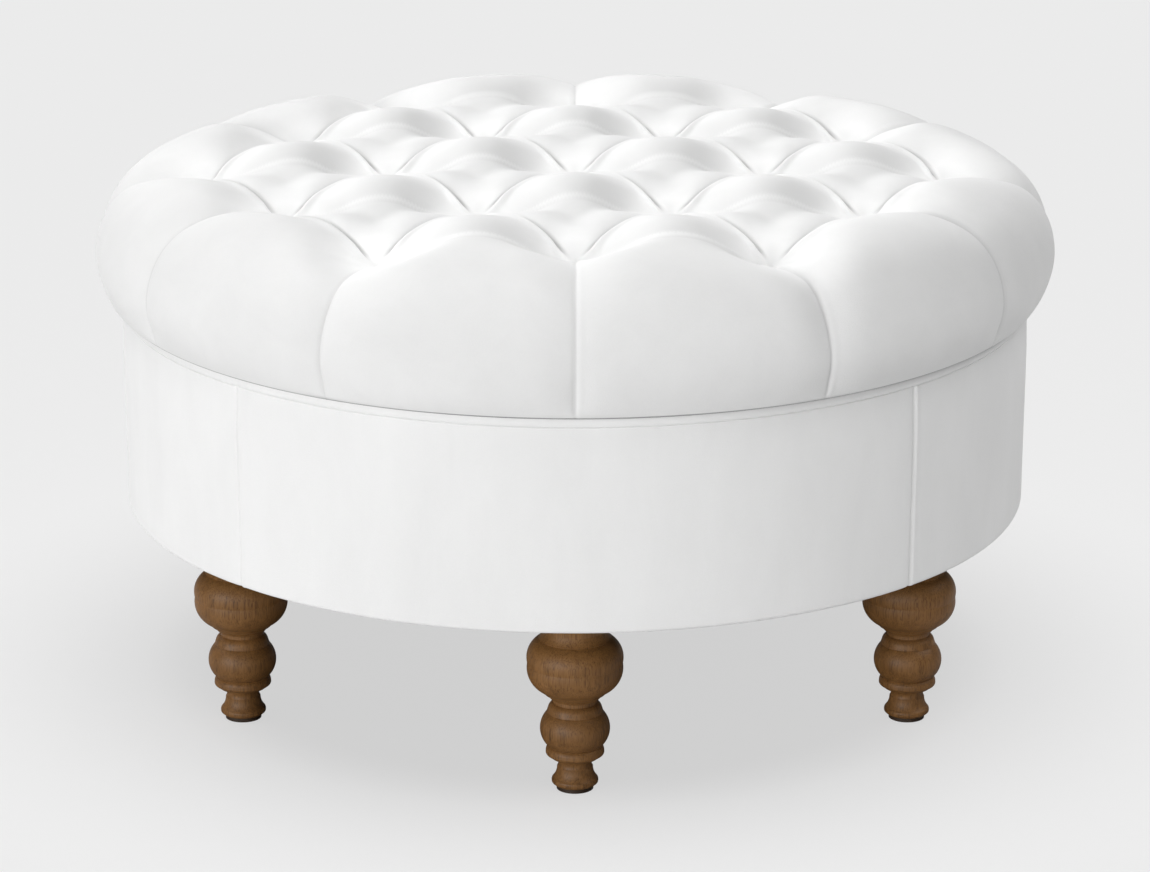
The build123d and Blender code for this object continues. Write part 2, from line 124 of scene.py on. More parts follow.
class Shader(Graph):
    """Node tree of one material round a principled shader."""

    def __init__(self, name: str) -> None:
        """Start a material with an output and a principled shader.

        Args:
            name: Name of the material.
        """
        self.material = bpy.data.materials.new(name)
        self.material.use_nodes = True
        super().__init__(self.material.node_tree)
        self.surface = self.add("ShaderNodeBsdfPrincipled")
        self.add("ShaderNodeOutputMaterial", {"Surface": self.surface.outputs[0]})

    def place(self, scale: Sequence[float] = (1, 1, 1), turn: float = 0.0) -> Socket:
        """Object coordinates in metres, stretched and turned.

        Args:
            scale: Stretch of the pattern along each axis.
            turn: Turn about the upright axis.

        Returns:
            The coordinates.
        """
        spot = self.add("ShaderNodeTexCoord").outputs["Object"]
        feeds = {"Vector": spot, "Scale": scale, "Rotation": (0, 0, turn)}
        return self.add("ShaderNodeMapping", feeds).outputs[0]

    def noise(self, where: Socket, scale: float, detail: float = 2, rough: float = 0.5,
              twist: float = 0) -> Socket:
        """Noise over a position.

        Args:
            where: Position.
            scale: Size of the pattern, as waves in a metre.
            detail: Number of finer layers.
            rough: Weight of the finer layers.
            twist: Distortion of the pattern.

        Returns:
            A value round 0.5.
        """
        feeds = {"Vector": where, "Scale": scale, "Detail": detail, "Roughness": rough, "Distortion": twist}
        return self.add("ShaderNodeTexNoise", feeds).outputs["Fac"]

    def attribute(self, name: str) -> Socket:
        """Value that the mesh holds at each point, 0 where it has none."""
        return self.add("ShaderNodeAttribute", attribute_name=name, attribute_type="GEOMETRY").outputs["Fac"]

    def ramp(self, value: Socket, stops: Sequence[tuple[float, Colour]]) -> Socket:
        """Colour ramp over a value.

        Args:
            value: Socket between 0 and 1.
            stops: Pairs of position and colour.

        Returns:
            The ramp's colour.
        """
        node = self.add("ShaderNodeValToRGB", {"Fac": value})
        for element, (spot, colour) in zip(node.color_ramp.elements, stops):
            element.position = spot
            element.color = (*colour, 1)
        for spot, colour in stops[len(node.color_ramp.elements):]:
            node.color_ramp.elements.new(spot).color = (*colour, 1)
        return node.outputs["Color"]

    def grey(self, value: Socket, low: float, high: float, start: float = 0.3, end: float = 0.7) -> Socket:
        """Value mapped from one range to another.

        Args:
            value: Value to map.
            low: Result at the start.
            high: Result at the end.
            start: Value that gives the low result.
            end: Value that gives the high result.

        Returns:
            The result, held within its range.
        """
        feeds = {"Value": value, "From Min": start, "From Max": end, "To Min": low, "To Max": high}
        return self.add("ShaderNodeMapRange", feeds).outputs["Result"]

    def product(self, *factors: Socket) -> Socket:
        """Product of several values.

        Args:
            factors: The values.

        Returns:
            Their product.
        """
        total = factors[0]
        for factor in factors[1:]:
            total = self.calc("MULTIPLY", total, factor)
        return total

    def tint(self, colour: Socket | Colour, factor: Socket) -> Socket:
        """Colour multiplied by a grey value.

        Args:
            colour: Socket or plain colour.
            factor: Grey value.

        Returns:
            The tinted colour.
        """
        base = colour if isinstance(colour, Socket) else (*colour, 1)
        mixed = self.add("ShaderNodeMix", {0: 1.0, 6: base, 7: factor}, data_type="RGBA",
                         blend_type="MULTIPLY")
        return mixed.outputs[2]

    def bump(self, *heights: tuple[Socket, float]) -> None:
        """Chain of bumps on the shader's normal.

        Args:
            heights: Pairs of a height and its depth in metres.
        """
        feeds = {}
        for height, depth in heights:
            node = self.add("ShaderNodeBump", {"Strength": 1.0, "Distance": depth, "Height": height, **feeds})
            feeds = {"Normal": node.outputs[0]}
        self.tree.links.new(node.outputs[0], self.surface.inputs["Normal"])

    def finish(self, colour: Socket, **values: object) -> bpy.types.Material:
        """Set the shader's inputs and hand out the material.

        Args:
            colour: Base colour.
            values: Input names with underscores for spaces, and numbers, colours or sockets.

        Returns:
            The finished material.
        """
        self.tree.links.new(colour, self.surface.inputs["Base Color"])
        for key, value in values.items():
            target = self.surface.inputs[key.replace("_", " ")]
            if isinstance(value, Socket):
                self.tree.links.new(value, target)
            else:
                target.default_value = value
        return self.material


@dataclass(frozen=True)
class Velvet:
    """Short-pile white velvet with a brushed nap and a soft sheen."""

    name: str = "white velvet"
    colour: Colour = (0.775, 0.775, 0.773)
    nap: Nap = Nap.LYING
    mottle: float = 0.035
    pile: float = 0.00016
    # lying: factor of the deepest painted shade, on slopes facing right and front.
    lying: float = 0.87
    # opened: factor of the fullest painted light, partly the look of the pile's opened nap.
    opened_painted_light: float = 1.28
    # hidden: factor of the painted shade where the cloth turns under and in the creases.
    hidden_painted_shade: float = 0.05

    def make(self) -> bpy.types.Material:
        """Build the material.

        Returns:
            The material.
        """
        shader = Shader(self.name)
        flow = shader.place((1, 1, 0.35) if self.nap is Nap.UPRIGHT else (1, 1, 1))
        brushed = shader.noise(flow, scale=26, detail=4, rough=0.6, twist=0.4)
        cloudy = shader.noise(flow, scale=7, detail=3, rough=0.55)
        threads = shader.noise(shader.place(), scale=1400, rough=0.6)
        tufts = shader.noise(shader.place(), scale=420, detail=3, rough=0.65)
        shade = shader.product(
            shader.grey(brushed, 1 - self.mottle, 1), shader.grey(cloudy, 1 - self.mottle, 1),
            shader.grey(threads, 0.975, 1),
            # Painted light and painted shade carried by the mesh, partly the look of the pile's nap.
            shader.grey(shader.attribute("pile_and_painted_light"), self.lying, self.opened_painted_light, start=-0.5, end=1),
            # Painted shade in the creases and where the cloth turns under.
            shader.grey(shader.attribute("tucked_painted_shade"), 1, self.hidden_painted_shade, start=0, end=1))
        shader.bump((tufts, self.pile * 0.6), (threads, self.pile))
        return shader.finish(shader.tint(self.colour, shade), Roughness=0.86, Specular_IOR_Level=0.25,
                             Sheen_Weight=0.28, Sheen_Roughness=0.42, Sheen_Tint=(1, 1, 1, 1))


@dataclass(frozen=True)
class TurnedWood:
    """Brown-stained beech with fine upright grain under a satin lacquer."""

    name: str = "brown turned wood"
    dark: Colour = (0.075, 0.034, 0.009)
    middle: Colour = (0.170, 0.078, 0.022)
    light: Colour = (0.235, 0.114, 0.036)

    def make(self) -> bpy.types.Material:
        """Build the material.

        Returns:
            The material.
        """
        shader = Shader(self.name)
        flow = shader.place((1, 1, 0.07))
        fine = shader.noise(flow, scale=700, detail=4, rough=0.62, twist=0.25)
        bands = shader.noise(flow, scale=190, detail=3, rough=0.55, twist=0.4)
        clouds = shader.noise(shader.place(), scale=26, detail=3)
        pores = shader.noise(shader.place((1, 1, 0.045)), scale=1500)
        mixed = shader.calc("ADD", shader.calc("MULTIPLY", fine, 0.6), shader.calc("MULTIPLY", bands, 0.4))
        tone = shader.ramp(mixed, ((0.30, self.dark), (0.44, self.middle), (0.68, self.light)))
        tone = shader.tint(tone, shader.grey(clouds, 0.88, 1.05))
        tone = shader.tint(tone, shader.grey(pores, 0.55, 1.0, start=0.36, end=0.47))
        shader.bump((pores, 0.00005), (fine, 0.00008))
        return shader.finish(tone, Roughness=shader.grey(fine, 0.46, 0.6), Coat_Weight=0.05,
                             Coat_Roughness=0.32, Specular_IOR_Level=0.28)


@dataclass(frozen=True)
class Plywood:
    """Raw birch plywood whose layers show as stripes over its thickness."""

    name: str = "raw plywood"
    face: Colour = (0.62, 0.46, 0.29)
    dark: Colour = (0.36, 0.235, 0.13)
    layer: float = 0.0018

    def make(self) -> bpy.types.Material:
        """Build the material.

        Returns:
            The material.
        """
        shader = Shader(self.name)
        height = shader.add("ShaderNodeSeparateXYZ", {0: shader.place()}).outputs["Z"]
        wave = shader.calc("SINE", shader.calc("MULTIPLY", height, math.pi / self.layer))
        plies = shader.grey(wave, 0.62, 1.0, start=-0.25, end=0.25)
        grain = shader.noise(shader.place((0.08, 1, 1)), scale=260, detail=4, rough=0.6, twist=0.3)
        blotch = shader.noise(shader.place(), scale=18, detail=3)
        tone = shader.ramp(grain, ((0.3, self.dark), (0.52, self.face)))
        tone = shader.tint(shader.tint(tone, plies), shader.grey(blotch, 0.86, 1.05))
        shader.bump((grain, 0.00012))
        return shader.finish(tone, Roughness=shader.grey(grain, 0.62, 0.8), Specular_IOR_Level=0.3)


@dataclass(frozen=True)
class Fibre:
    """Matte fibres: filling, twine or pressed board."""

    name: str
    colour: Colour
    coarse: float
    depth: float
    stretch: tuple[float, float, float] = (1, 1, 1)
    rough: float = 0.95
    sheen: float = 0.1

    def make(self) -> bpy.types.Material:
        """Build the material.

        Returns:
            The material.
        """
        shader = Shader(self.name)
        strands = shader.noise(shader.place(self.stretch), self.coarse, detail=4, rough=0.65, twist=0.8)
        clouds = shader.noise(shader.place(), self.coarse / 12)
        shade = shader.product(shader.grey(strands, 0.8, 1.05), shader.grey(clouds, 0.9, 1.02))
        shader.bump((strands, self.depth))
        return shader.finish(shader.tint(self.colour, shade), Roughness=self.rough, Specular_IOR_Level=0.2,
                             Sheen_Weight=self.sheen, Sheen_Roughness=0.5)


@dataclass(frozen=True)
class OpenFoam:
    """Cut upholstery foam with open cells."""

    name: str = "upholstery foam"
    colour: Colour = (0.86, 0.80, 0.62)
    pore_scale: float = 900.0

    def make(self) -> bpy.types.Material:
        """Build the material.

        Returns:
            The material.
        """
        shader = Shader(self.name)
        pores = shader.add("ShaderNodeTexVoronoi", {"Vector": shader.place(), "Scale": self.pore_scale})
        cells = pores.outputs["Distance"]
        clouds = shader.noise(shader.place(), scale=30, detail=3)
        shade = shader.product(shader.grey(cells, 0.72, 1.0, start=0.0, end=0.6),
                               shader.grey(clouds, 0.94, 1.02))
        shader.bump((cells, 0.0004))
        return shader.finish(shader.tint(self.colour, shade), Roughness=0.95, Specular_IOR_Level=0.15)


@dataclass(frozen=True)
class Cambric:
    """Thin black nonwoven with small pressed points."""

    name: str = "black cambric"
    colour: Colour = (0.028, 0.028, 0.030)
    pitch: float = 0.0016

    def make(self) -> bpy.types.Material:
        """Build the material.

        Returns:
            The material.
        """
        shader = Shader(self.name)
        flat = shader.place((1, 1, 0.001), math.pi / 4)
        feeds = {"Vector": flat, "Scale": 1 / self.pitch, "Randomness": 0.0}
        cells = shader.add("ShaderNodeTexVoronoi", feeds, distance="CHEBYCHEV")
        fuzz = shader.noise(shader.place(), scale=900, detail=3, rough=0.7)
        points = shader.grey(cells.outputs["Distance"], 0.6, 1.0, start=0.18, end=0.34)
        shader.bump((points, 0.0001), (fuzz, 0.00012))
        colour = shader.tint(self.colour, shader.product(points, shader.grey(fuzz, 0.6, 1.35)))
        return shader.finish(colour, Roughness=0.9, Specular_IOR_Level=0.2, Sheen_Weight=0.15,
                             Sheen_Roughness=0.5)


@dataclass(frozen=True)
class Metal:
    """Bright hardware: zinc plate or drawn wire."""

    name: str
    colour: Colour
    rough: tuple[float, float] = (0.26, 0.42)

    def make(self) -> bpy.types.Material:
        """Build the material.

        Returns:
            The material.
        """
        shader = Shader(self.name)
        spangle = shader.noise(shader.place(), scale=240, detail=3, rough=0.6)
        drawn = shader.noise(shader.place((1, 1, 0.15)), scale=1600)
        tone = shader.tint(self.colour, shader.grey(spangle, 0.86, 1.05))
        shader.bump((drawn, 0.00002))
        return shader.finish(tone, Metallic=1.0, Roughness=shader.grey(spangle, *self.rough))


@dataclass(frozen=True)
class MouldedPlastic:
    """Dark brown moulded plastic with a fine eroded skin."""

    name: str = "dark moulded plastic"
    colour: Colour = (0.036, 0.021, 0.012)

    def make(self) -> bpy.types.Material:
        """Build the material.

        Returns:
            The material.
        """
        shader = Shader(self.name)
        skin = shader.noise(shader.place(), scale=1500, detail=3, rough=0.6)
        wear = shader.noise(shader.place(), scale=90, detail=3, rough=0.6)
        shader.bump((skin, 0.00006))
        return shader.finish(shader.tint(self.colour, shader.grey(wear, 0.8, 1.15)),
                             Roughness=shader.grey(wear, 0.42, 0.58), Specular_IOR_Level=0.4)


class Finishes:
    """All finishes of the stool, made once and handed out by slot."""

    def __init__(self) -> None:
        """Make each finish."""
        kinds = {
            Slot.VELVET: Velvet(),
            Slot.FIBRE: Fibre("polyester fibre", (0.88, 0.88, 0.86), 340, 0.0006),
            Slot.FOAM: OpenFoam(),
            Slot.TWINE: Fibre("waxed twine", (0.80, 0.77, 0.69), 1900, 0.0002, (1, 1, 0.3), 0.6),
            Slot.FIBRE_BOARD: Fibre("pressed fibre board", (0.40, 0.30, 0.20), 1200, 0.0001),
            Slot.CAMBRIC: Cambric(),
            Slot.PLYWOOD: Plywood(),
            Slot.WOOD: TurnedWood(),
            Slot.PLASTIC: MouldedPlastic(),
            Slot.ZINC: Metal("zinc-plated steel", (0.62, 0.62, 0.60)),
            Slot.WIRE: Metal("drawn steel wire", (0.55, 0.55, 0.56), (0.3, 0.5)),
        }
        self.made = {slot: finish.make() for slot, finish in kinds.items()}
        self.upright = Velvet("white velvet, brushed upright", (0.82, 0.82, 0.818), Nap.UPRIGHT).make()

    def __getitem__(self, slot: Slot) -> bpy.types.Material:
        """Finish of a slot."""
        return self.made[slot]


def add_object(name: str, data: bpy.types.ID) -> bpy.types.Object:
    """Make an object of a mesh, camera or lamp and link it to the scene.

    Args:
        name: Name of the object.
        data: What it shows.

    Returns:
        The object.
    """
    made = bpy.data.objects.new(name, data)
    bpy.context.scene.collection.objects.link(made)
    return made


def new_mesh(name: str, points: Array, edges: Sequence[Sequence[int]] = (),
             faces: Sequence[Sequence[int]] = ()) -> bpy.types.Mesh:
    """Make a mesh from millimetre points.

    Args:
        name: Name of the mesh.
        points: Vertices in millimetres.
        edges: Vertex indices of each loose edge.
        faces: Vertex indices of each face.

    Returns:
        The mesh.
    """
    mesh = bpy.data.meshes.new(name)
    plain = [[list(map(int, item)) for item in items] for items in (edges, faces)]
    mesh.from_pydata((np.asarray(points, float) * MM).tolist(), *plain)
    return mesh


def new_piece(name: str, points: Array, faces: Sequence[Sequence[int]], finish: bpy.types.Material) -> bpy.types.Object:
    """Make a smooth-shaded mesh piece from millimetre points.

    Args:
        name: Name of the piece.
        points: Vertices in millimetres.
        faces: Vertex indices of each face.
        finish: Material of the piece.

    Returns:
        The new object, linked to the scene.
    """
    mesh = new_mesh(name, points, faces=faces)
    mesh.validate()
    mesh.shade_smooth()
    mesh.materials.append(finish)
    piece = add_object(name, mesh)
    return piece


def keep_result(piece: bpy.types.Object, modifier: bpy.types.Modifier) -> None:
    """Turn a piece's only modifier into plain mesh.

    Args:
        piece: The piece.
        modifier: Its modifier, which is removed.
    """
    bpy.context.view_layer.update()
    shape = bpy.data.meshes.new_from_object(piece.evaluated_get(bpy.context.evaluated_depsgraph_get()))
    piece.modifiers.remove(modifier)
    piece.data = shape
    shape.name = piece.name


def read(items: bpy.types.bpy_prop_collection, key: str, width: int) -> Array:
    """Values of a mesh's points.

    Args:
        items: Vertices, or the data of an attribute.
        key: Name of the property.
        width: Number of values of each point.

    Returns:
        One row for each point.
    """
    values = np.empty(len(items) * width)
    items.foreach_get(key, values)
    return values.reshape(-1, width)


def round_angles(count: int) -> Array:
    """Angles spread evenly round the stool."""
    return np.linspace(0, FULL_TURN, count, endpoint=False)


def polar(radius: Array, angle: Array, height: Array) -> Array:
    """Points at a distance from the stool's axis, an angle round it and a height."""
    return np.stack([radius * np.cos(angle), radius * np.sin(angle), height], -1)


def grid_faces(rows: int, columns: int, closed: bool = False, start: int = 0) -> Array:
    """Quads of a grid of rows and columns.

    Args:
        rows: Number of vertex rows.
        columns: Number of vertices in a row.
        closed: Whether each row closes on itself.
        start: Index of the first vertex.

    Returns:
        One row of four indices for each quad.
    """
    last = columns if closed else columns - 1
    row, column = np.meshgrid(np.arange(rows - 1), np.arange(last), indexing="ij")
    after = (column + 1) % columns
    quads = np.stack([row * columns + column, row * columns + after,
                      (row + 1) * columns + after, (row + 1) * columns + column], -1)
    return quads.reshape(-1, 4) + start


def strip_faces(rings: Array) -> list[list[int]]:
    """Quads between neighbouring closed rings of vertex indices."""
    after = np.roll(rings, -1, 1)
    return np.stack([rings[:-1], rings[1:], after[1:], after[:-1]], -1).reshape(-1, 4).tolist()


def smooth_step(value: Array, low: float, high: float) -> Array:
    """Smooth rise from 0 at one value to 1 at another."""
    share = np.clip((value - low) / (high - low), 0, 1)
    return share * share * (3 - 2 * share)


def bell(distance: Array, width: float) -> Array:
    """Rounded hump of height 1 over a distance."""
    return np.exp(-(distance / width) ** 2)


def nick(distance: Array, width: float) -> Array:
    """Sharp-bottomed groove of depth 1 over a distance."""
    return np.exp(-np.abs(distance) / width)


def puff(distance: Array, reach: Array, lean: Array) -> Array:
    """Rise of a stuffed cheek from 0 in its valley to 1 at its reach, straighter for a higher lean."""
    rest = np.clip(1 - distance / reach, 0, 1)
    return 1 - rest ** 2 * (1 + lean * (1 - rest))


def ripple(x: Array, y: Array, z: Array, size: float, seed: int, waves: int = 14) -> Array:
    """Gentle fixed unevenness between -1 and 1, as a sum of seeded waves.

    Args:
        x: First coordinate in millimetres.
        y: Second coordinate.
        z: Third coordinate.
        size: Usual length of a wave in millimetres.
        seed: Seed of the waves' directions.
        waves: Number of waves.

    Returns:
        The value at each point.
    """
    random = np.random.default_rng(seed)
    total = np.zeros_like(np.asarray(x, float))
    for _ in range(waves):
        way = random.normal(size=3)
        way *= FULL_TURN / (size * random.uniform(0.6, 1.8)) / np.linalg.norm(way)
        total += np.sin(x * way[0] + y * way[1] + z * way[2] + random.uniform(0, FULL_TURN))
    return total / math.sqrt(waves) / 1.6


@dataclass
class CushionOutline:
    """Half outline of the cushion before tufting, from the crown's middle to the crease."""

    base_radius: float = 375.0
    crease_height: float = 328.15
    bulge: float = 21.5
    overhang: float = 6.0
    widest_rise: float = 34.0
    rim_inset: float = 108.0
    rim_rise: float = 79.5
    crown_rise: float = 6.5
    side_turn: float = 62.0
    roll_radius: float = 3.0
    samples: int = 400
    radius: Array = field(init=False)
    height: Array = field(init=False)
    turn: Array = field(init=False)
    length: Array = field(init=False)
    reach: Array = field(init=False)

    def __post_init__(self) -> None:
        """Sample the arcs once."""
        widest = self.base_radius + self.bulge
        level = self.crease_height + self.widest_rise
        crest = widest - self.rim_inset
        top = level + self.rim_rise + self.crown_rise
        crown = (crest ** 2 + self.crown_rise ** 2) / (2 * self.crown_rise)
        crest_turn = math.pi / 2 - math.asin(crest / crown)
        side = math.radians(self.side_turn)
        side_run, side_climb = 1 - math.cos(side), math.sin(side)
        wide_run, wide_climb = math.cos(side) - math.cos(crest_turn), math.sin(crest_turn) - math.sin(side)
        scale = side_run * wide_climb - wide_run * side_climb
        tight = (self.rim_inset * wide_climb - wide_run * self.rim_rise) / scale
        wide = (side_run * self.rim_rise - self.rim_inset * side_climb) / scale
        run = self.bulge - self.overhang
        lower = (run ** 2 + self.widest_rise ** 2) / (2 * run)
        roll_turn = math.asin((self.roll_radius - self.widest_rise) / (lower - self.roll_radius))
        hub, heel = widest - tight, widest - lower
        shift, drop = tight - wide, lower - self.roll_radius
        arcs = [
            (0, top - crown, crown, math.pi / 2, crest_turn),
            (hub + shift * math.cos(side), level + shift * math.sin(side), wide, crest_turn, side),
            (hub, level, tight, side, 0.0),
            (heel, level, lower, 0.0, roll_turn),
            (heel + drop * math.cos(roll_turn), level + drop * math.sin(roll_turn), self.roll_radius,
             roll_turn, -math.pi / 2),
        ]
        turns, radii, heights = [], [], []
        for centre, base, curve, high, low in arcs:
            turn = np.linspace(high, low, self.samples)[:-1]
            turns.append(turn)
            radii.append(centre + curve * np.cos(turn))
            heights.append(base + curve * np.sin(turn))
        self.turn = np.append(np.concatenate(turns), -math.pi / 2)
        self.radius = np.append(np.concatenate(radii), arcs[-1][0])
        self.height = np.append(np.concatenate(heights), self.crease_height)
        steps = np.hypot(np.diff(self.radius), np.diff(self.height))
        self.length = np.append(0, np.cumsum(steps))
        steep = int(np.argmax(self.turn <= side))
        self.reach = np.where(self.length <= self.length[steep], self.radius,
                              self.radius[steep] + self.length - self.length[steep])

    def at(self, length: Array) -> tuple[Array, Array, Array, Array]:
        """Radius, height, turn and flattened radius at a length along the outline."""
        known = (self.radius, self.height, self.turn, self.reach)
        return tuple(np.interp(length, self.length, values) for values in known)

    def length_at(self, radius: Array) -> Array:
        """Length along the outline at a radius on the upper face."""
        top = int(np.argmax(self.turn <= math.radians(self.side_turn)))
        return np.interp(radius, self.radius[:top], self.length[:top])


@dataclass
class TuftPattern:
    """Form of the tufting over the cushion's flattened upper face."""

    pitch: float = 156.0
    rows: tuple[int, ...] = (3, 4, 5, 4, 3)
    tuft_depth: float = 33.0
    tuft_curve: float = 1.7
    pleat_depth: float = 17.0
    rim_depth: float = 4.5
    rim_fade: float = 125.0
    cheek_reach: float = 72.0
    front_lean: float = -0.2
    back_lean: float = 0.9
    fold_drop: float = 15.0
    fold_run: float = 36.0
    fold_fade: float = 45.0
    fold_edge: tuple[float, float] = (-2.0, 12.0)
    open_share: float = 0.6
    open_fade: float = 70.0
    pit_depth: float = 2.0
    pit_radius: float = 6.0
    lip_height: float = 3.2
    lip_width: float = 2.5
    lip_inset: float = 4.4
    # Strength of the painted highlight laid along each pleat lip.
    lip_painted_highlight: float = 0.8
    crease_depth: float = 2.6
    crease_width: float = 1.4
    left_share: float = 0.35
    left_fade: tuple[float, float] = (0.15, 0.5)
    ridge_height: float = 1.8
    ridge_width: float = 3.4
    ridge_inset: float = 1.2
    ridge_middle: float = 0.55
    tuck_depth: float = 1.1
    tuck_width: float = 1.7
    tuck_inset: float = 1.8
    gather_height: float = 0.5
    gather_count: int = 7
    gather_radius: float = 18.0
    gather_spread: float = 10.0
    # Painted light round each tuft and in the valleys, partly the pile's opened nap.
    strain_light_reach: tuple[float, float] = (38.0, 56.0)
    strain_light_peak: float = 1.35
    valley_strain_light: float = 0.6
    field_fade: tuple[float, float] = (-10.0, 60.0)

    @property
    def row_step(self) -> float:
        """Distance between rows."""
        return self.pitch * math.sin(math.radians(60))

    def places(self) -> list[tuple[float, float]]:
        """Plan positions of the tufts.

        Returns:
            Across and towards the back, in millimetres.
        """
        places = []
        for row, count in enumerate(self.rows):
            y = (row - len(self.rows) // 2) * self.row_step
            places += [((place - (count - 1) / 2) * self.pitch, y) for place in range(count)]
        return places

    def pairs(self, turn: float) -> list[tuple[Array, Array]]:
        """Neighbouring tufts along one direction of the lattice.

        Args:
            turn: Direction in degrees.

        Returns:
            Pairs of positions, the lower end first.
        """
        step = self.pitch * np.array([math.cos(math.radians(turn)), math.sin(math.radians(turn))])
        places = [np.array(place) for place in self.places()]
        return [(one, other) for one in places for other in places
                if np.linalg.norm(one + step - other) < 1]

    @staticmethod
    def along(x: Array, y: Array, start: Array, end: Array) -> tuple[Array, Array]:
        """Where places lie along a segment.

        Args:
            x: Flattened places across.
            y: Flattened places towards the back.
            start: One end of the segment.
            end: The other end.

        Returns:
            Share along the segment, and signed distance from its line, positive towards the back.
        """
        run = end - start
        length = float(np.linalg.norm(run))
        share = ((x - start[0]) * run[0] + (y - start[1]) * run[1]) / length ** 2
        across = ((y - start[1]) * run[0] - (x - start[0]) * run[1]) / length
        return share, across if run[0] > 0 else -across

    @staticmethod
    def ends(share: Array, begin: float) -> Array:
        """Fade towards both ends of a segment."""
        return smooth_step(share, begin, 0.2) * smooth_step(1 - share, begin, 0.2)

    def outside(self, x: Array, y: Array) -> Array:
        """Distance outside the hexagon of tufts, negative within it."""
        sides = np.radians(30 + 60 * np.arange(6))
        return np.max([x * math.cos(side) + y * math.sin(side) for side in sides], 0) - 2 * self.row_step

    def depth(self, x: Array, y: Array) -> Array:
        """Depth of the valleys: shallow on the rim, deepest at the tufts.

        Args:
            x: Flattened places across.
            y: Flattened places towards the back.

        Returns:
            Depth at each place.
        """
        inner = 1 - smooth_step(self.outside(x, y), 0, self.rim_fade)
        depth = self.rim_depth + (self.pleat_depth - self.rim_depth) * inner
        for place_x, place_y in self.places():
            near = np.clip(1 - 2 * np.hypot(x - place_x, y - place_y) / self.pitch, 0, 1)
            depth = depth + (self.tuft_depth - self.pleat_depth) * near ** self.tuft_curve
        return depth

    def fullness(self, x: Array, y: Array) -> Array:
        """Share of the full height that the pillows reach.

        Args:
            x: Flattened places across.
            y: Flattened places towards the back.

        Returns:
            0 in the pleats, 1 on the crests.
        """
        level = np.ones_like(x)
        for start, end in self.pairs(60) + self.pairs(120):
            share, across = self.along(x, y, start, end)
            beyond = np.abs(share - np.clip(share, 0, 1)) * self.pitch
            distance = np.hypot(across, beyond)
            near = distance < self.cheek_reach
            side = np.clip(across[near] / np.maximum(distance[near], 1e-6), -1, 1)
            side = np.where(beyond[near] > 0, smooth_step(side, -1, 1), side > 0)
            lean = self.back_lean + (self.front_lean - self.back_lean) * side
            level[near] *= puff(distance[near], self.cheek_reach, lean)
        return level

    def folds(self, x: Array, y: Array) -> Array:
        """Drop of each pillow's front half below the fold between its left and right tuft.

        Args:
            x: Flattened places across.
            y: Flattened places towards the back.

        Returns:
            The drop, 0 or less.
        """
        level = np.zeros_like(x)
        places = np.array(self.places())
        slant = math.sqrt(3)
        for start, end in self.pairs(0):
            middle = (start[0] + end[0]) / 2
            aside, behind = x - middle, y - start[1]
            back = [(self.row_step - behind + side * slant * aside) / 2 for side in (-1, 1)]
            front = [(self.row_step + behind + side * slant * aside) / 2 for side in (-1, 1)]
            tip = np.hypot(places[:, 0] - middle, places[:, 1] - start[1] + self.row_step).min()
            if tip < 1:
                fade = smooth_step(front[0], 0, self.fold_fade) * smooth_step(front[1], 0, self.fold_fade)
            else:
                fade = smooth_step(self.pitch / 2 - np.abs(aside), 0, self.fold_fade / 2) * self.open_share
                fade = fade * smooth_step(behind, -self.open_fade, 0)
            down = 1 - np.sin(math.pi / 2 * np.clip(behind / self.fold_run, 0, 1))
            inside = smooth_step(back[0], *self.fold_edge) * smooth_step(back[1], *self.fold_edge)
            level -= self.fold_drop * down * fade * inside
        return level

    def details(self, x: Array, y: Array) -> tuple[Array, Array, Array]:
        """Pleat lips, stitched creases, fold ridges and gathers.

        Args:
            x: Flattened places across.
            y: Flattened places towards the back.

        Returns:
            Height over the main form, painted shade in the creases, and painted highlight on the lips and ridges.
        """
        level, dark, painted_highlight = np.zeros_like(x), np.zeros_like(x), np.zeros_like(x)
        for turn in (60, 120):
            for start, end in self.pairs(turn):
                share, across = self.along(x, y, start, end)
                ends = self.ends(share, 0.03)
                if turn == 60:
                    left = 1 - smooth_step(share, *self.left_fade)
                    ends = ends * (self.left_share + (1 - self.left_share) * left)
                lip = ends * bell(across + self.lip_inset, self.lip_width)
                level += self.lip_height * lip - self.crease_depth * ends * nick(across, self.crease_width)
                # Painted shade along each pleat crease.
                dark = np.maximum(dark, ends * bell(across, self.crease_width))
                # Painted highlight along each lip.
                painted_highlight = np.maximum(painted_highlight, self.lip_painted_highlight * lip)
        for start, end in self.pairs(0):
            share, across = self.along(x, y, start, end)
            towards_tuft = np.abs(2 * np.clip(share, 0, 1) - 1)
            ends = self.ends(share, 0.04) * (self.ridge_middle + (1 - self.ridge_middle) * towards_tuft)
            ridge = ends * bell(across - self.ridge_inset, self.ridge_width)
            level += self.ridge_height * ridge
            level -= self.tuck_depth * ends * nick(across + self.tuck_inset, self.tuck_width)
            # Painted highlight along each fold ridge.
            painted_highlight = np.maximum(painted_highlight, ridge)
        for place_x, place_y in self.places():
            distance = np.hypot(x - place_x, y - place_y)
            angle = np.arctan2(y - place_y, x - place_x)
            gathers = np.cos(self.gather_count * angle + 0.9 * math.sin(place_x + place_y))
            level += self.gather_height * gathers * bell(distance - self.gather_radius, self.gather_spread)
            level -= self.pit_depth * bell(distance, self.pit_radius)
        return level, dark, painted_highlight

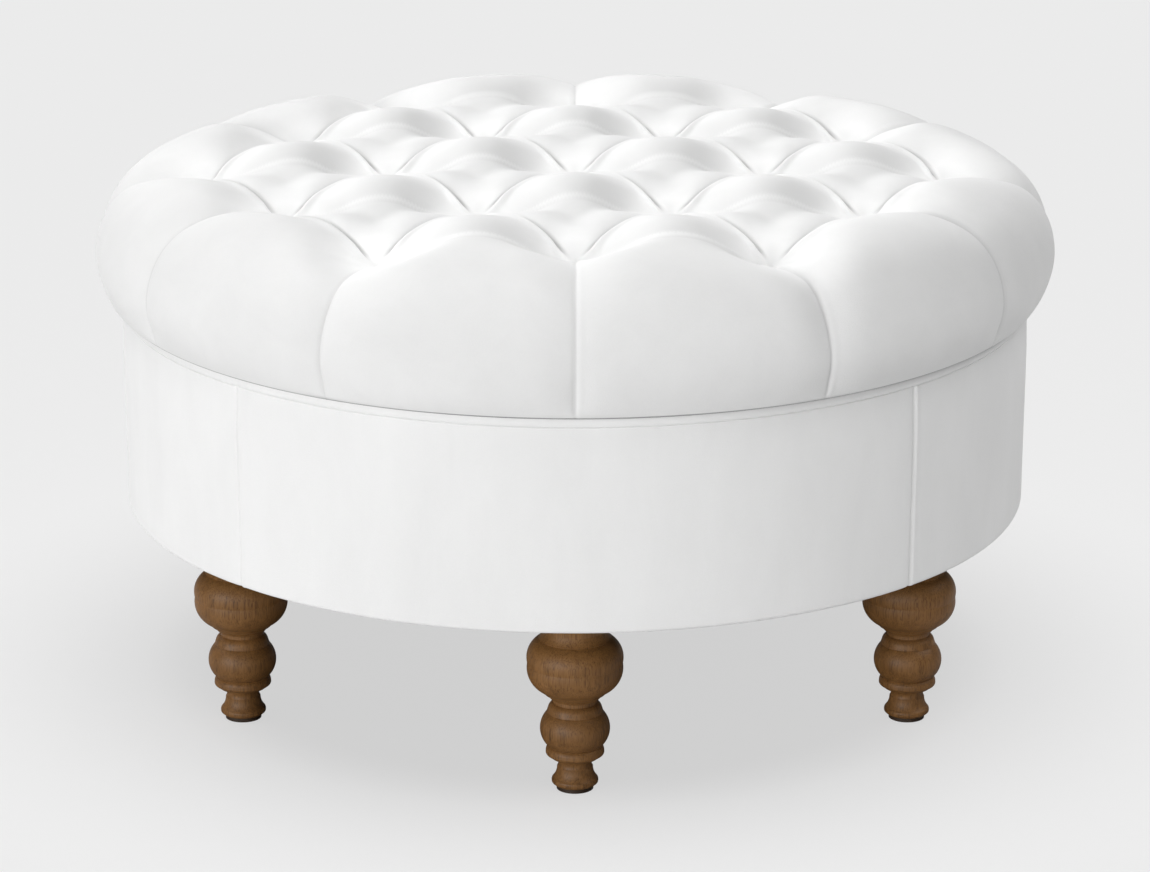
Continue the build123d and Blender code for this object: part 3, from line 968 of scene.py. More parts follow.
    def pile_and_painted_light(self, x: Array, y: Array) -> Array:
        """Painted light at the tufts and in the valleys, partly standing for the pile stretched open.

        Args:
            x: Flattened places across.
            y: Flattened places towards the back.

        Returns:
            0 on the pillows, 1 at the tufts.
        """
        pile_and_painted_light = np.zeros_like(x)
        for place_x, place_y in self.places():
            distance = np.hypot((x - place_x) / self.strain_light_reach[0], (y - place_y) / self.strain_light_reach[1])
            pile_and_painted_light = np.maximum(pile_and_painted_light, np.clip(self.strain_light_peak * bell(distance, 1), 0, 1))
        return np.maximum(pile_and_painted_light, self.valley_strain_light * (1 - self.fullness(x, y)) ** 2)

    def inside(self, x: Array, y: Array) -> Array:
        """1 over the tufted field, fading to 0 on the rim."""
        return 1 - smooth_step(self.outside(x, y), *self.field_fade)


@dataclass
class RadialSeams:
    """Seams from the outer tufts over the rim down to the crease."""

    count: int = 12
    near_reach: float = 72.0
    far_reach: float = 34.0
    fade: float = 70.0
    lean: float = -0.1
    valley_start: tuple[float, float] = (-20.0, 10.0)
    stitch_start: tuple[float, float] = (-10.0, 20.0)
    stitch_depth: float = 1.1
    stitch_width: float = 1.2
    # Painted shade along each stitched seam, and its width.
    painted_shade: float = 0.12
    painted_shade_width: float = 1.3
    edge_height: float = 0.5
    edge_width: float = 2.4
    edge_inset: float = 4.2

    def across(self, angle: Array, reach: Array) -> Array:
        """Signed distance from the nearest seam."""
        step = FULL_TURN / self.count
        return ((angle + step / 2) % step - step / 2) * reach

    def past(self, angle: Array, reach: Array, pitch: float) -> Array:
        """Distance past the outer tuft of the nearest seam."""
        odd = np.round(angle / (FULL_TURN / self.count)).astype(int) % 2
        return reach - np.where(odd == 1, pitch * math.sqrt(3), pitch * 2)

    def fullness(self, angle: Array, reach: Array, pitch: float) -> Array:
        """Share of the full height that the panels reach beside the seams.

        Args:
            angle: Angle of each place round the stool.
            reach: Flattened radius of each place.
            pitch: Distance between tufts.

        Returns:
            0 in the seams, 1 on the panels.
        """
        past = self.past(angle, reach, pitch)
        fading = np.exp(-np.clip(past, 0, None) / self.fade)
        wide = self.far_reach + (self.near_reach - self.far_reach) * fading
        valley = 1 - puff(np.abs(self.across(angle, reach)), wide, self.lean)
        return 1 - smooth_step(past, *self.valley_start) * valley

    def details(self, angle: Array, reach: Array, pitch: float) -> tuple[Array, Array]:
        """Stitched creases and the turned edges beside them.

        Args:
            angle: Angle of each place round the stool.
            reach: Flattened radius of each place.
            pitch: Distance between tufts.

        Returns:
            Height over the main form, and painted shade in the creases.
        """
        across = self.across(angle, reach)
        begun = smooth_step(self.past(angle, reach, pitch), *self.stitch_start)
        stitched = -self.stitch_depth * nick(across, self.stitch_width)
        edge = self.edge_height * bell(across - self.edge_inset, self.edge_width)
        # The second value is the painted shade along the seam.
        return begun * (stitched + edge), begun * self.painted_shade * bell(across, self.painted_shade_width)


@dataclass
class Inflation:
    """Short cloth simulation that puffs a held skin."""

    pressure: float = 4.0
    frames: int = 20
    quality: int = 6
    mass: float = 0.3
    stretch: float = 30.0
    shear: float = 15.0
    bending: float = 4.0
    limit: float = 5.0

    def run(self, piece: bpy.types.Object, held: Array) -> None:
        """Puff the piece and keep its new form.

        Args:
            piece: The piece.
            held: How firmly each point is held, from 0 to 1.
        """
        rest = read(piece.data.vertices, "co", 3)
        group = piece.vertex_groups.new(name="held")
        for index, weight in enumerate(held):
            group.add([index], float(weight), "REPLACE")
        cloth = piece.modifiers.new("cloth", "CLOTH")
        settings = cloth.settings
        settings.quality, settings.mass = self.quality, self.mass
        settings.tension_stiffness, settings.compression_stiffness = self.stretch, self.stretch
        settings.shear_stiffness, settings.bending_stiffness = self.shear, self.bending
        settings.vertex_group_mass, settings.pin_stiffness = "held", 1
        settings.use_pressure, settings.uniform_pressure_force = True, self.pressure
        settings.effector_weights.gravity = 0
        cloth.collision_settings.use_collision = False
        scene = bpy.context.scene
        for frame_number in range(1, self.frames + 1):
            scene.frame_set(frame_number)
        puffed = piece.evaluated_get(bpy.context.evaluated_depsgraph_get())
        shift = read(puffed.data.vertices, "co", 3) - rest
        size = np.linalg.norm(shift, axis=1)
        limit = self.limit * MM
        shift *= (limit * np.tanh(size / limit) / np.maximum(size, 1e-9))[:, None]
        capped = np.linalg.norm(shift, axis=1).max() / MM
        log.info("%s puffed by up to %.1f mm, capped from %.1f mm", piece.name, capped, size.max() / MM)
        piece.modifiers.remove(cloth)
        piece.vertex_groups.clear()
        scene.frame_set(1)
        piece.data.vertices.foreach_set("co", (rest + shift).ravel())


@dataclass
class Cushion:
    """Deep-tufted cushion: velvet over filling, drawn down at the tufts, its hem under the deck."""

    steps: int = 36
    rim_rings: int = 36
    rim_spacing: float = 1.35
    crowding: float = 0.4
    lean: float = 0.025
    level_fade: tuple[float, float] = (20.0, 3.0)
    # nap, its way and its limit set painted shade on slopes facing right and front and painted light on slopes facing
    # left and back.
    nap: float = 1.2
    facing_shade_way: tuple[float, float] = (-0.75, 0.5)
    facing_shade_limit: float = 0.5
    # Strength of the painted shade in the pleat creases.
    crease_painted_shade: float = 0.45
    wrinkles: tuple[tuple[float, int, float], ...] = ((46.0, 7, 0.22), (110.0, 17, 0.5))
    droop: float = 3.2
    droop_run: float = 40.0
    turned_in: float = 1.2
    turned_up: float = 0.6
    tuck_radius: float = 379.0
    hem_middle: float = 362.0
    hem_inner: float = 345.0
    hem_top: float = 329.4
    deck_radius: float = 373.25
    foam_top: float = 383.8
    outline: CushionOutline = field(default_factory=CushionOutline)
    pattern: TuftPattern = field(default_factory=TuftPattern)
    seams: RadialSeams = field(default_factory=RadialSeams)
    inflation: Inflation = field(default_factory=Inflation)

    def lattice(self) -> tuple[Array, list[tuple[int, ...]], Array]:
        """Diamond net over the hexagon of tufts, its lines along the pleats.

        Returns:
            Plan positions in millimetres, faces, and the outer points in order.
        """
        size = 2 * self.steps
        index, shares = {}, []
        for first in range(-size, size + 1):
            for second in range(-size, size + 1):
                if abs(first + second) <= size:
                    index[first, second] = len(shares)
                    shares.append((first, second))
        faces = []
        for first, second in shares + [(-size - 1, place) for place in range(-1, size + 1)]:
            corners = ((first, second), (first + 1, second), (first + 1, second + 1), (first, second + 1))
            found = tuple(index[corner] for corner in corners if corner in index)
            if len(found) >= 3:
                faces.append(found)
        for first in range(-size - 1, size + 1):
            second = -size - 1 - first
            corners = ((first + 1, second), (first + 1, second + 1), (first, second + 1))
            whole = (first, second) not in index and all(corner in index for corner in corners)
            if whole and -size - 1 <= second <= size:
                faces.append(tuple(index[corner] for corner in corners))
        shares = np.array(shares) / self.steps
        edge = np.max(np.abs(np.column_stack([shares, shares.sum(1)])), 1) > 2 - 1e-6
        shares = shares - self.crowding * np.sin(FULL_TURN * shares) / FULL_TURN
        rise = math.sqrt(3) / 2
        plan = self.pattern.pitch * shares @ np.array([[0.5, rise], [-0.5, rise]])
        outer = np.flatnonzero(edge)
        order = np.argsort(np.arctan2(plan[outer, 1], plan[outer, 0]))
        return plan, sorted(set(faces)), outer[order]

    def skin(self) -> tuple[Array, Array, list[Sequence[int]], Array]:
        """Net of the whole upper skin.

        Returns:
            Length along the outline and angle of each point, faces, and the last ring's points.
        """
        plan, faces, edge = self.lattice()
        length = self.outline.length_at(np.hypot(plan[:, 0], plan[:, 1]))
        angle = np.arctan2(plan[:, 1], plan[:, 0])
        rings = np.arange(1, self.rim_rings + 1) / self.rim_rings
        share = 1 - (1 - rings)[:, None] ** self.rim_spacing
        rim_length = length[edge] + (self.outline.length[-1] - length[edge]) * share
        rim_angle = np.repeat(angle[edge][None, :], self.rim_rings, 0)
        count = len(edge)
        ring = np.vstack([edge, len(plan) + np.arange(self.rim_rings * count).reshape(self.rim_rings, count)])
        return np.append(length, rim_length), np.append(angle, rim_angle), faces + strip_faces(ring), ring[-1]

    def shape(self, length: Array, angle: Array) -> tuple[Array, Array, Array]:
        """Main form of the skin.

        Args:
            length: Length along the outline of each point.
            angle: Angle of each point round the stool.

        Returns:
            Points in millimetres, their flattened places, and how full the skin is there.
        """
        radius, height, turn, reach = self.outline.at(length)
        x, y = reach * np.cos(angle), reach * np.sin(angle)
        full = self.pattern.fullness(x, y) * self.seams.fullness(angle, reach, self.pattern.pitch)
        level = self.pattern.folds(x, y) - self.pattern.depth(x, y) * (1 - full)
        end = self.outline.length[-1]
        level = level * (1 - smooth_step(length, *(end - run for run in self.level_fade)))
        out = radius + level * np.cos(turn)
        up = height + level * np.sin(turn) - self.lean * y * np.clip(np.sin(turn), 0, 1) ** 2
        up = up - self.droop * smooth_step(length, end - self.droop_run, end)
        return polar(out, angle, up), np.stack([x, y], -1), full

    def underside(self, rim: Array) -> Array:
        """Points from the crease to the hem, back round the deck and in over the foam.

        Args:
            rim: Points of the skin's last ring.

        Returns:
            Points ring by ring.
        """
        turn, start = np.arctan2(rim[:, 1], rim[:, 0]), np.hypot(rim[:, 0], rim[:, 1])
        crease = self.outline.crease_height
        rows = [(start - self.turned_in, crease - self.droop + self.turned_up)]
        for size, height in ((self.tuck_radius, crease), (self.hem_middle, crease), (self.hem_inner, crease),
                             (self.hem_inner, self.hem_top), (self.deck_radius, self.hem_top),
                             (self.deck_radius, self.foam_top), (self.deck_radius * 0.6, self.foam_top),
                             (self.deck_radius * 0.2, self.foam_top)):
            rows.append((np.full_like(start, size), height))
        return np.concatenate([polar(size, turn, np.full_like(size, height)) for size, height in rows])

    def refine(self, piece: bpy.types.Object) -> None:
        """Subdivide once, raise lips and ridges, sink the creases and mark the painted light and painted shade of the
        velvet, partly standing for how the pile lies.

        Args:
            piece: The cushion.
        """
        modifier = piece.modifiers.new("refine", "SUBSURF")
        modifier.levels = modifier.render_levels = 1
        modifier.boundary_smooth = "PRESERVE_CORNERS"
        keep_result(piece, modifier)
        mesh = piece.data
        x, y, upper = read(mesh.attributes["spread"].data, "vector", 3).T
        upper = np.clip(upper, 0, 1)
        level, dark, painted_highlight = self.pattern.details(x, y)
        stitched, seam_painted_shade = self.seams.details(np.arctan2(y, x), np.hypot(x, y), self.pattern.pitch)
        wrinkle = sum(ripple(x, y, x * 0, size, seed) * height for size, seed, height in self.wrinkles)
        level = (level + stitched + wrinkle) * upper
        normals = read(mesh.vertices, "normal", 3)
        points = read(mesh.vertices, "co", 3) + normals * level[:, None] * MM
        mesh.vertices.foreach_set("co", points.ravel())
        mesh.update()
        across, behind, _ = read(mesh.vertices, "normal", 3).T
        opened_painted_light = self.pattern.pile_and_painted_light(x, y)
        # Painted shade on slopes facing right and front, painted light on those facing left and back, taken from the
        # normals.
        brushed = self.nap * (self.facing_shade_way[0] * across + self.facing_shade_way[1] * behind) * self.pattern.inside(x, y)
        brushed = np.clip(brushed, -self.facing_shade_limit, self.facing_shade_limit) * (1 - opened_painted_light)
        # Painted light at the tufts, in the valleys and on lips and ridges, with the painted shade of the slopes,
        # stored as one attribute.
        pile_and_painted_light = (np.maximum(opened_painted_light, painted_highlight) + brushed) * upper
        mesh.attributes.new("pile_and_painted_light", "FLOAT", "POINT").data.foreach_set("value", pile_and_painted_light)
        hidden_painted_shade = mesh.attributes["tucked_painted_shade"].data
        # Painted shade in the pleat and seam creases, joined to that of the tucked edge.
        dark = np.maximum(self.crease_painted_shade * dark, seam_painted_shade) * upper
        hidden_painted_shade.foreach_set("value", np.maximum(read(hidden_painted_shade, "value", 1).ravel(), dark))
        mesh.attributes.remove(mesh.attributes["spread"])
        mesh.shade_smooth()
        mesh.update()

    def build(self, finishes: Finishes) -> bpy.types.Object:
        """Args:
            finishes: Finishes of the stool.

        Returns:
            The cushion.
        """
        length, angle, faces, last = self.skin()
        upper, spread, full = self.shape(length, angle)
        under = self.underside(upper[last])
        count, first = len(last), len(upper)
        rings = len(under) // count
        ring = np.vstack([last, first + np.arange(rings * count).reshape(rings, count)])
        inner = ring[-1]
        closing = [tuple(dict.fromkeys((inner[place], inner[-place], inner[-place - 1], inner[place + 1])))
                   for place in range(count // 2)]
        points = np.concatenate([upper, under])
        piece = new_piece("tufted_cushion", points, faces + strip_faces(ring) + closing,
                          finishes[Slot.VELVET])
        end = self.outline.length[-1]
        places = np.zeros((len(points), 3))
        places[:first] = np.column_stack([spread, 1 - smooth_step(length, end - 9, end - 2)])
        spots = piece.data.attributes.new("spread", "FLOAT_VECTOR", "POINT")
        spots.data.foreach_set("vector", places.ravel())
        # Painted shade on the last millimetres of the skin where it turns under, and over the whole underside.
        tucked_painted_shade = np.ones(len(points))
        tucked_painted_shade[:first] = smooth_step(length, end - 4, end - 2)
        piece.data.attributes.new("tucked_painted_shade", "FLOAT", "POINT").data.foreach_set("value", tucked_painted_shade)
        held = np.ones(len(points))
        held[:first] = 1 - smooth_step(full, 0.08, 0.5) * smooth_step(end - length, 12, 40)
        self.inflation.run(piece, held)
        self.refine(piece)
        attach(piece, "root")
        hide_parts("seat_cover", "seat_filling")
        return piece


@dataclass
class BorderCover:
    """Velvet panels of the base over thin wadding."""

    radius: float = 375.0
    bottom: float = 150.0
    top: float = 316.4
    tuck_radius: float = 371.2
    hem_inner: float = 354.0
    cloth: float = 1.3
    corner: float = 3.2
    top_corner: float = 1.0
    swell: float = 1.0
    swell_height: float = 275.0
    edge_sink: tuple[tuple[float, float], ...] = ((1.6, 1.4), (0.5, 9.0))
    fold_height: float = 0.9
    fold_width: float = 1.8
    fold_inset: float = 3.4
    wave: float = 0.35
    wave_size: float = 120.0
    crowding: float = 1.6
    panel_count: int = 4
    across: int = 150
    upward: int = 56

    def profile(self) -> Array:
        """Outer profile from the hem's inner edge, round the bottom corner, up to the welt.

        Returns:
            Rows of radius, height and outward share.
        """
        bend, low = self.radius - self.corner, self.bottom + self.corner
        top_bend, high = self.radius - self.top_corner, self.top - self.top_corner
        rows = [(self.hem_inner + (bend - self.hem_inner) * share, self.bottom, 0)
                for share in np.linspace(0, 1, 6)[:-1]]
        rows += [(bend + self.corner * math.cos(turn), low + self.corner * math.sin(turn), 0)
                 for turn in np.radians(np.linspace(-90, 0, 7))]
        rows += [(self.radius, low + (high - low) * share, 1) for share in np.linspace(0, 1, self.upward)[1:]]
        rows += [(top_bend + self.top_corner * math.cos(turn), high + self.top_corner * math.sin(turn), 1)
                 for turn in np.radians(np.linspace(0, 90, 6))[1:]]
        return np.array(rows + [(self.tuck_radius, self.top, 1)])

    def swelling(self, height: Array) -> Array:
        """How far the wadding pushes the cloth out.

        Args:
            height: Heights in millimetres.

        Returns:
            The distance at each height.
        """
        rise = smooth_step(height, self.bottom, self.swell_height)
        fall = 1 - smooth_step(height, self.swell_height, self.top)
        return self.swell * rise * (0.25 + 0.75 * fall)

    def surface(self, start: float) -> tuple[Array, Array, Array]:
        """Outer face of one panel, drawn in at its side edges.

        Args:
            start: Angle of its first edge in degrees.

        Returns:
            Radius, angle and height of each point of its grid.
        """
        profile = self.profile()
        sweep = math.radians(360 / self.panel_count)
        share = np.linspace(-1, 1, self.across)
        share = np.sign(share) * (1 - (1 - np.abs(share)) ** self.crowding)
        turn = math.radians(start) + sweep * (share + 1) / 2
        gap = (1 - np.abs(share)) * sweep / 2 * self.radius
        left = (share + 1) / 2 * sweep * self.radius
        edge = self.fold_height * bell(left - self.fold_inset, self.fold_width)
        for depth, width in self.edge_sink:
            edge = edge - depth * nick(gap, width)
        radius = (profile[:, 0] + self.swelling(profile[:, 1]) * profile[:, 2])[:, None]
        radius = radius + edge * smooth_step(profile[:, 0], self.radius - 12, self.radius - 1)[:, None]
        height = np.repeat(profile[:, 1][:, None], self.across, 1)
        angle = np.repeat(turn[None, :], len(profile), 0)
        wave = ripple(radius * np.cos(angle), radius * np.sin(angle), height * 0.4, self.wave_size, 5)
        wave = wave * smooth_step(height, self.bottom + 4, self.bottom + 30)
        wave = wave * (1 - smooth_step(height, self.top - 30, self.top - 4))
        return radius + self.wave * wave, angle, height

    def panel(self, name: str, start: float, finish: bpy.types.Material) -> bpy.types.Object:
        """One panel with its thickness.

        Args:
            name: Name of the piece.
            start: Angle of its first edge in degrees.
            finish: Material of the panel.

        Returns:
            The panel.
        """
        radius, angle, height = self.surface(start)
        slope_r, slope_z = np.gradient(radius, axis=0), np.gradient(height, axis=0)
        size = np.hypot(slope_r, slope_z)
        inner = polar(radius - self.cloth * slope_z / size, angle, height + self.cloth * slope_r / size)
        rows, columns = radius.shape
        points = np.concatenate([polar(radius, angle, height).reshape(-1, 3), inner.reshape(-1, 3)])
        front = grid_faces(rows, columns)
        back = grid_faces(rows, columns, start=rows * columns)[:, ::-1]
        piece = new_piece(name, points, [*front, *back, *self.rim_faces(rows, columns)], finish)
        profile = self.profile()
        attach(piece, "root")
        return piece

    @staticmethod
    def rim_faces(rows: int, columns: int) -> list[tuple[int, ...]]:
        """Faces that close a doubled grid along its four edges.

        Args:
            rows: Number of rows of the grid.
            columns: Number of points in a row.

        Returns:
            The faces.
        """
        ring = [*range(columns)]
        ring += [row * columns + columns - 1 for row in range(1, rows)]
        ring += [(rows - 1) * columns + column for column in range(columns - 2, -1, -1)]
        ring += [row * columns for row in range(rows - 2, 0, -1)]
        shift = rows * columns
        return [(one, one + shift, other + shift, other) for one, other in zip(ring, ring[1:] + ring[:1])]

    def build(self, finishes: Finishes) -> list[bpy.types.Object]:
        """Args:
            finishes: Finishes of the stool.

        Returns:
            The panels.
        """
        made = []
        for place, side in enumerate(("right", "back", "left", "front")):
            piece = self.panel("border_panel_" + side, -45 + 90 * place, finishes.upright)
            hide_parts("border_cover_" + side)
            made.append(piece)
        return made


@dataclass
class Wadding:
    """Thin fibre layer between the side wall and the border cover."""

    inner: float = 370.6
    outer: float = 373.2
    bottom: float = 152.0
    top: float = 316.5
    fluff: float = 0.2
    fluff_size: float = 40.0
    margin: float = 0.25
    across: int = 240
    upward: int = 12

    def build(self, finishes: Finishes) -> bpy.types.Object:
        """Args:
            finishes: Finishes of the stool.

        Returns:
            The wadding.
        """
        angle, level = np.meshgrid(round_angles(self.across), np.linspace(self.bottom, self.top, self.upward))
        wave = ripple(self.outer * np.cos(angle), self.outer * np.sin(angle), level, self.fluff_size, 11)
        outside = self.outer - self.margin + self.fluff * wave
        radii = np.concatenate([outside, np.full_like(outside, self.inner)])
        heights = np.concatenate([level, level[::-1]])
        points = polar(radii, np.concatenate([angle, angle]), heights).reshape(-1, 3)
        faces = list(grid_faces(len(heights), self.across, True))
        last = (len(heights) - 1) * self.across
        faces += [(last + place, last + (place + 1) % self.across, (place + 1) % self.across, place)
                  for place in range(self.across)]
        piece = new_piece("wall_wadding", points, faces, finishes[Slot.FIBRE])
        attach(piece, "root")
        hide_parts("wall_padding")
        return piece


@dataclass
class FoamSlab:
    """Cut foam slab on the deck, with softly broken edges."""

    radius: float = 372.6
    bottom: float = 347.6
    top: float = 383.5
    edge: float = 3.0
    across: int = 180

    def build(self, finishes: Finishes) -> bpy.types.Object:
        """Args:
            finishes: Finishes of the stool.

        Returns:
            The slab.
        """
        bend, low, high = self.radius - self.edge, self.bottom + self.edge, self.top - self.edge
        rows = [(self.radius * share, self.bottom) for share in (0.3, 0.7)] + [(bend, self.bottom)]
        for level, turns in ((low, (-60, -30, 0)), (high, (0, 30, 60, 90))):
            rows += [(bend + self.edge * math.cos(turn), level + self.edge * math.sin(turn))
                     for turn in np.radians(turns)]
        rows += [(self.radius * share, self.top) for share in (0.7, 0.3)]
        turn = round_angles(self.across)
        points = [polar(radius, turn, np.full_like(turn, height)) for radius, height in rows]
        points = np.concatenate(points + [[[0, 0, self.bottom], [0, 0, self.top]]])
        faces = list(grid_faces(len(rows), self.across, True))
        under, over, last = len(points) - 2, len(points) - 1, (len(rows) - 1) * self.across
        for place in range(self.across):
            after = (place + 1) % self.across
            faces += [(under, after, place), (over, last + place, last + after)]
        piece = new_piece("foam_slab", points, faces, finishes[Slot.FOAM])
        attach(piece, "root")
        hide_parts("seat_foam")
        return piece


class Recipe(Graph):
    """Geometry node tree with named inputs, run once on a carrier mesh."""

    def __init__(self, name: str, inputs: dict[str, tuple[str, object]]) -> None:
        """Start a tree.

        Args:
            name: Name of the tree.
            inputs: Socket type and value of each named input.
        """
        super().__init__(bpy.data.node_groups.new(name, "GeometryNodeTree"))
        self.values = inputs
        self.sockets = {}
        self.tree.interface.new_socket("Geometry", in_out="INPUT", socket_type="NodeSocketGeometry")
        for label, (kind, _) in inputs.items():
            socket = self.tree.interface.new_socket(label, in_out="INPUT", socket_type="NodeSocket" + kind)
            self.sockets[label] = socket.identifier
        self.tree.interface.new_socket("Geometry", in_out="OUTPUT", socket_type="NodeSocketGeometry")
        self.source = self.add("NodeGroupInput")

    def make(self, kind: str, feeds: dict[int | str, object] | None = None, **settings: object) -> Socket:
        """First output of a new geometry node."""
        return self.add("GeometryNode" + kind, feeds, **settings).outputs[0]

    def value(self, label: str) -> Socket:
        """Socket of a named input."""
        return self.source.outputs[label]

    def vector(self, x: object = 0.0, y: object = 0.0, z: object = 0.0) -> Socket:
        """Vector of three values."""
        return self.add("ShaderNodeCombineXYZ", {0: x, 1: y, 2: z}).outputs[0]

    def run(self, carrier: bpy.types.Object, geometry: Socket, finish: bpy.types.Material,
            slot: Slot) -> bpy.types.Object:
        """End the tree, run it on the carrier and keep the result as a plain mesh.

        Args:
            carrier: Object whose mesh the tree reads.
            geometry: Last geometry of the tree.
            finish: Material of the result.
            slot: Slot of the record that the finish belongs to; not used.

        Returns:
            The carrier with its new mesh.
        """
        real = self.make("RealizeInstances", {0: geometry})
        shaded = self.make("SetShadeSmooth", {0: real})
        dressed = self.make("SetMaterial", {"Geometry": shaded, "Material": finish})
        self.add("NodeGroupOutput", {0: dressed})
        modifier = carrier.modifiers.new("recipe", "NODES")
        modifier.node_group = self.tree
        for label, (_, value) in self.values.items():
            modifier[self.sockets[label]] = value
        keep_result(carrier, modifier)
        return carrier


@dataclass
class Welt:
    """Piping under the crease: cloth round a cord, swept round the stool."""

    centre_radius: float = 374.1
    centre_height: float = 322.15
    width: float = 6.2
    height: float = 11.7
    around: int = 420
    section: int = 28
    wobble: float = 0.12
    wobble_scale: float = 34.0

    def build(self, finishes: Finishes) -> bpy.types.Object:
        """Args:
            finishes: Finishes of the stool.

        Returns:
            The welt.
        """
        recipe = Recipe("welt", {
            "Radius": ("Float", self.centre_radius * MM), "Height": ("Float", self.centre_height * MM),
            "Section Width": ("Float", self.width / 2 * MM),
            "Section Height": ("Float", self.height / 2 * MM),
            "Around": ("Int", self.around), "Section Points": ("Int", self.section),
            "Wobble": ("Float", self.wobble * MM), "Seed": ("Float", 3.0)})
        path = recipe.make("CurvePrimitiveCircle", {"Resolution": recipe.value("Around"),
                                                    "Radius": recipe.value("Radius")})
        noise = recipe.add("ShaderNodeTexNoise", {
            "Vector": recipe.make("InputPosition"), "W": recipe.value("Seed"), "Scale": self.wobble_scale,
            "Detail": 1.0}, noise_dimensions="4D").outputs[0]
        lift = recipe.calc("MULTIPLY", recipe.calc("SUBTRACT", noise, 0.5), recipe.value("Wobble"))
        height = recipe.calc("ADD", lift, recipe.value("Height"))
        raised = recipe.make("SetPosition", {"Geometry": path, "Offset": recipe.vector(0, 0, height)})
        section = recipe.make("CurvePrimitiveCircle", {"Resolution": recipe.value("Section Points"),
                                                       "Radius": 1.0})
        flat = recipe.make("Transform", {"Geometry": section, "Scale": recipe.vector(
            recipe.value("Section Width"), recipe.value("Section Height"), 1.0)})
        level = recipe.make("SetCurveNormal", {"Curve": raised}, mode="Z_UP")
        swept = recipe.make("CurveToMesh", {"Curve": level, "Profile Curve": flat})
        carrier = add_object("welt", new_mesh("welt", [(0, 0, 0)]))
        piece = recipe.run(carrier, swept, finishes.upright, Slot.VELVET)
        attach(piece, "root")
        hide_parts("piping_cover", "piping_cord")
        return piece


@dataclass
class TuftTwines:
    """Twisted waxed twine at each tuft, with a knot in its pit and one under its washer."""

    radius: float = 1.2
    strand: float = 0.72
    strand_count: int = 3
    turn_length: float = 7.0
    path_step: float = 1.1
    low: float = 326.5
    below_pit: float = 4.5
    tail: float = 1.5
    knot_radius: float = 2.9
    knot_wire: float = 1.15
    knot_height: float = 2.2
    outline: CushionOutline = field(default_factory=CushionOutline)
    pattern: TuftPattern = field(default_factory=TuftPattern)

    def ends(self) -> list[tuple[float, float, float]]:
        """Top of each twine, in its tuft's pit.

        Returns:
            Points in millimetres.
        """
        made = []
        drop = self.pattern.tuft_depth + self.pattern.pit_depth + self.below_pit
        for x, y in self.pattern.places():
            length = self.outline.length_at(np.array([math.hypot(x, y)]))
            made.append((x, y, float(self.outline.at(length)[1][0]) - drop))
        return made

    def build(self, finishes: Finishes) -> bpy.types.Object:
        """Make the twines.

        Args:
            finishes: Finishes of the stool.

        Returns:
            The twines, as one piece.
        """
        points, edges = [], []
        for x, y, top in self.ends():
            points += [(x, y, self.low - self.tail), (x, y, top + self.tail)]
            edges.append((len(points) - 2, len(points) - 1))
        recipe = Recipe("tuft twines", {
            "Strand Radius": ("Float", self.strand * MM), "Path Step": ("Float", self.path_step * MM),
            "Lay Radius": ("Float", (self.radius - self.strand) * MM),
            "Turns Per Metre": ("Float", 1 / (self.turn_length * MM)),
            "Knot Radius": ("Float", self.knot_radius * MM), "Knot Wire": ("Float", self.knot_wire * MM),
            "Knot Height": ("Float", self.knot_height * MM)})
        ends = recipe.source.outputs[0]
        lines = recipe.make("MeshToCurve", {"Mesh": ends})
        fine = recipe.make("ResampleCurve", {"Curve": lines, "Length": recipe.value("Path Step")},
                           mode="LENGTH")
        run = recipe.add("GeometryNodeSplineParameter").outputs["Length"]
        turns = recipe.calc("MULTIPLY", run, recipe.value("Turns Per Metre"))
        turn = recipe.calc("MULTIPLY", turns, FULL_TURN)
        section = recipe.make("CurvePrimitiveCircle", {"Resolution": 7,
                                                       "Radius": recipe.value("Strand Radius")})
        joined = recipe.add("GeometryNodeJoinGeometry")
        for place in range(self.strand_count):
            phase = recipe.calc("ADD", turn, place * FULL_TURN / self.strand_count)
            aside = [recipe.calc("MULTIPLY", recipe.calc(wave, phase), recipe.value("Lay Radius"))
                     for wave in ("COSINE", "SINE")]
            laid = recipe.make("SetPosition", {"Geometry": fine, "Offset": recipe.vector(*aside)})
            tube = recipe.make("CurveToMesh", {"Curve": laid, "Profile Curve": section, "Fill Caps": True})
            recipe.tree.links.new(tube, joined.inputs[0])
        coil = recipe.make("CurveSpiral", {
            "Resolution": 18, "Rotations": 2.0, "Start Radius": recipe.value("Knot Radius"),
            "End Radius": recipe.value("Knot Radius"), "Height": recipe.value("Knot Height")})
        wire = recipe.make("CurvePrimitiveCircle", {"Resolution": 8, "Radius": recipe.value("Knot Wire")})
        knot = recipe.make("CurveToMesh", {"Curve": coil, "Profile Curve": wire, "Fill Caps": True})
        sunk = recipe.calc("MULTIPLY", recipe.value("Knot Height"), -0.5)
        level = recipe.make("Transform", {"Geometry": knot, "Translation": recipe.vector(z=sunk)})
        knots = recipe.make("InstanceOnPoints", {"Points": ends, "Instance": level})
        recipe.tree.links.new(knots, joined.inputs[0])
        carrier = add_object("tuft_twine", new_mesh("tuft_twine", points, edges))
        piece = recipe.run(carrier, joined.outputs[0], finishes[Slot.TWINE], Slot.TWINE)
        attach(piece, "root")
        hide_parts("tuft_ties")
        return piece


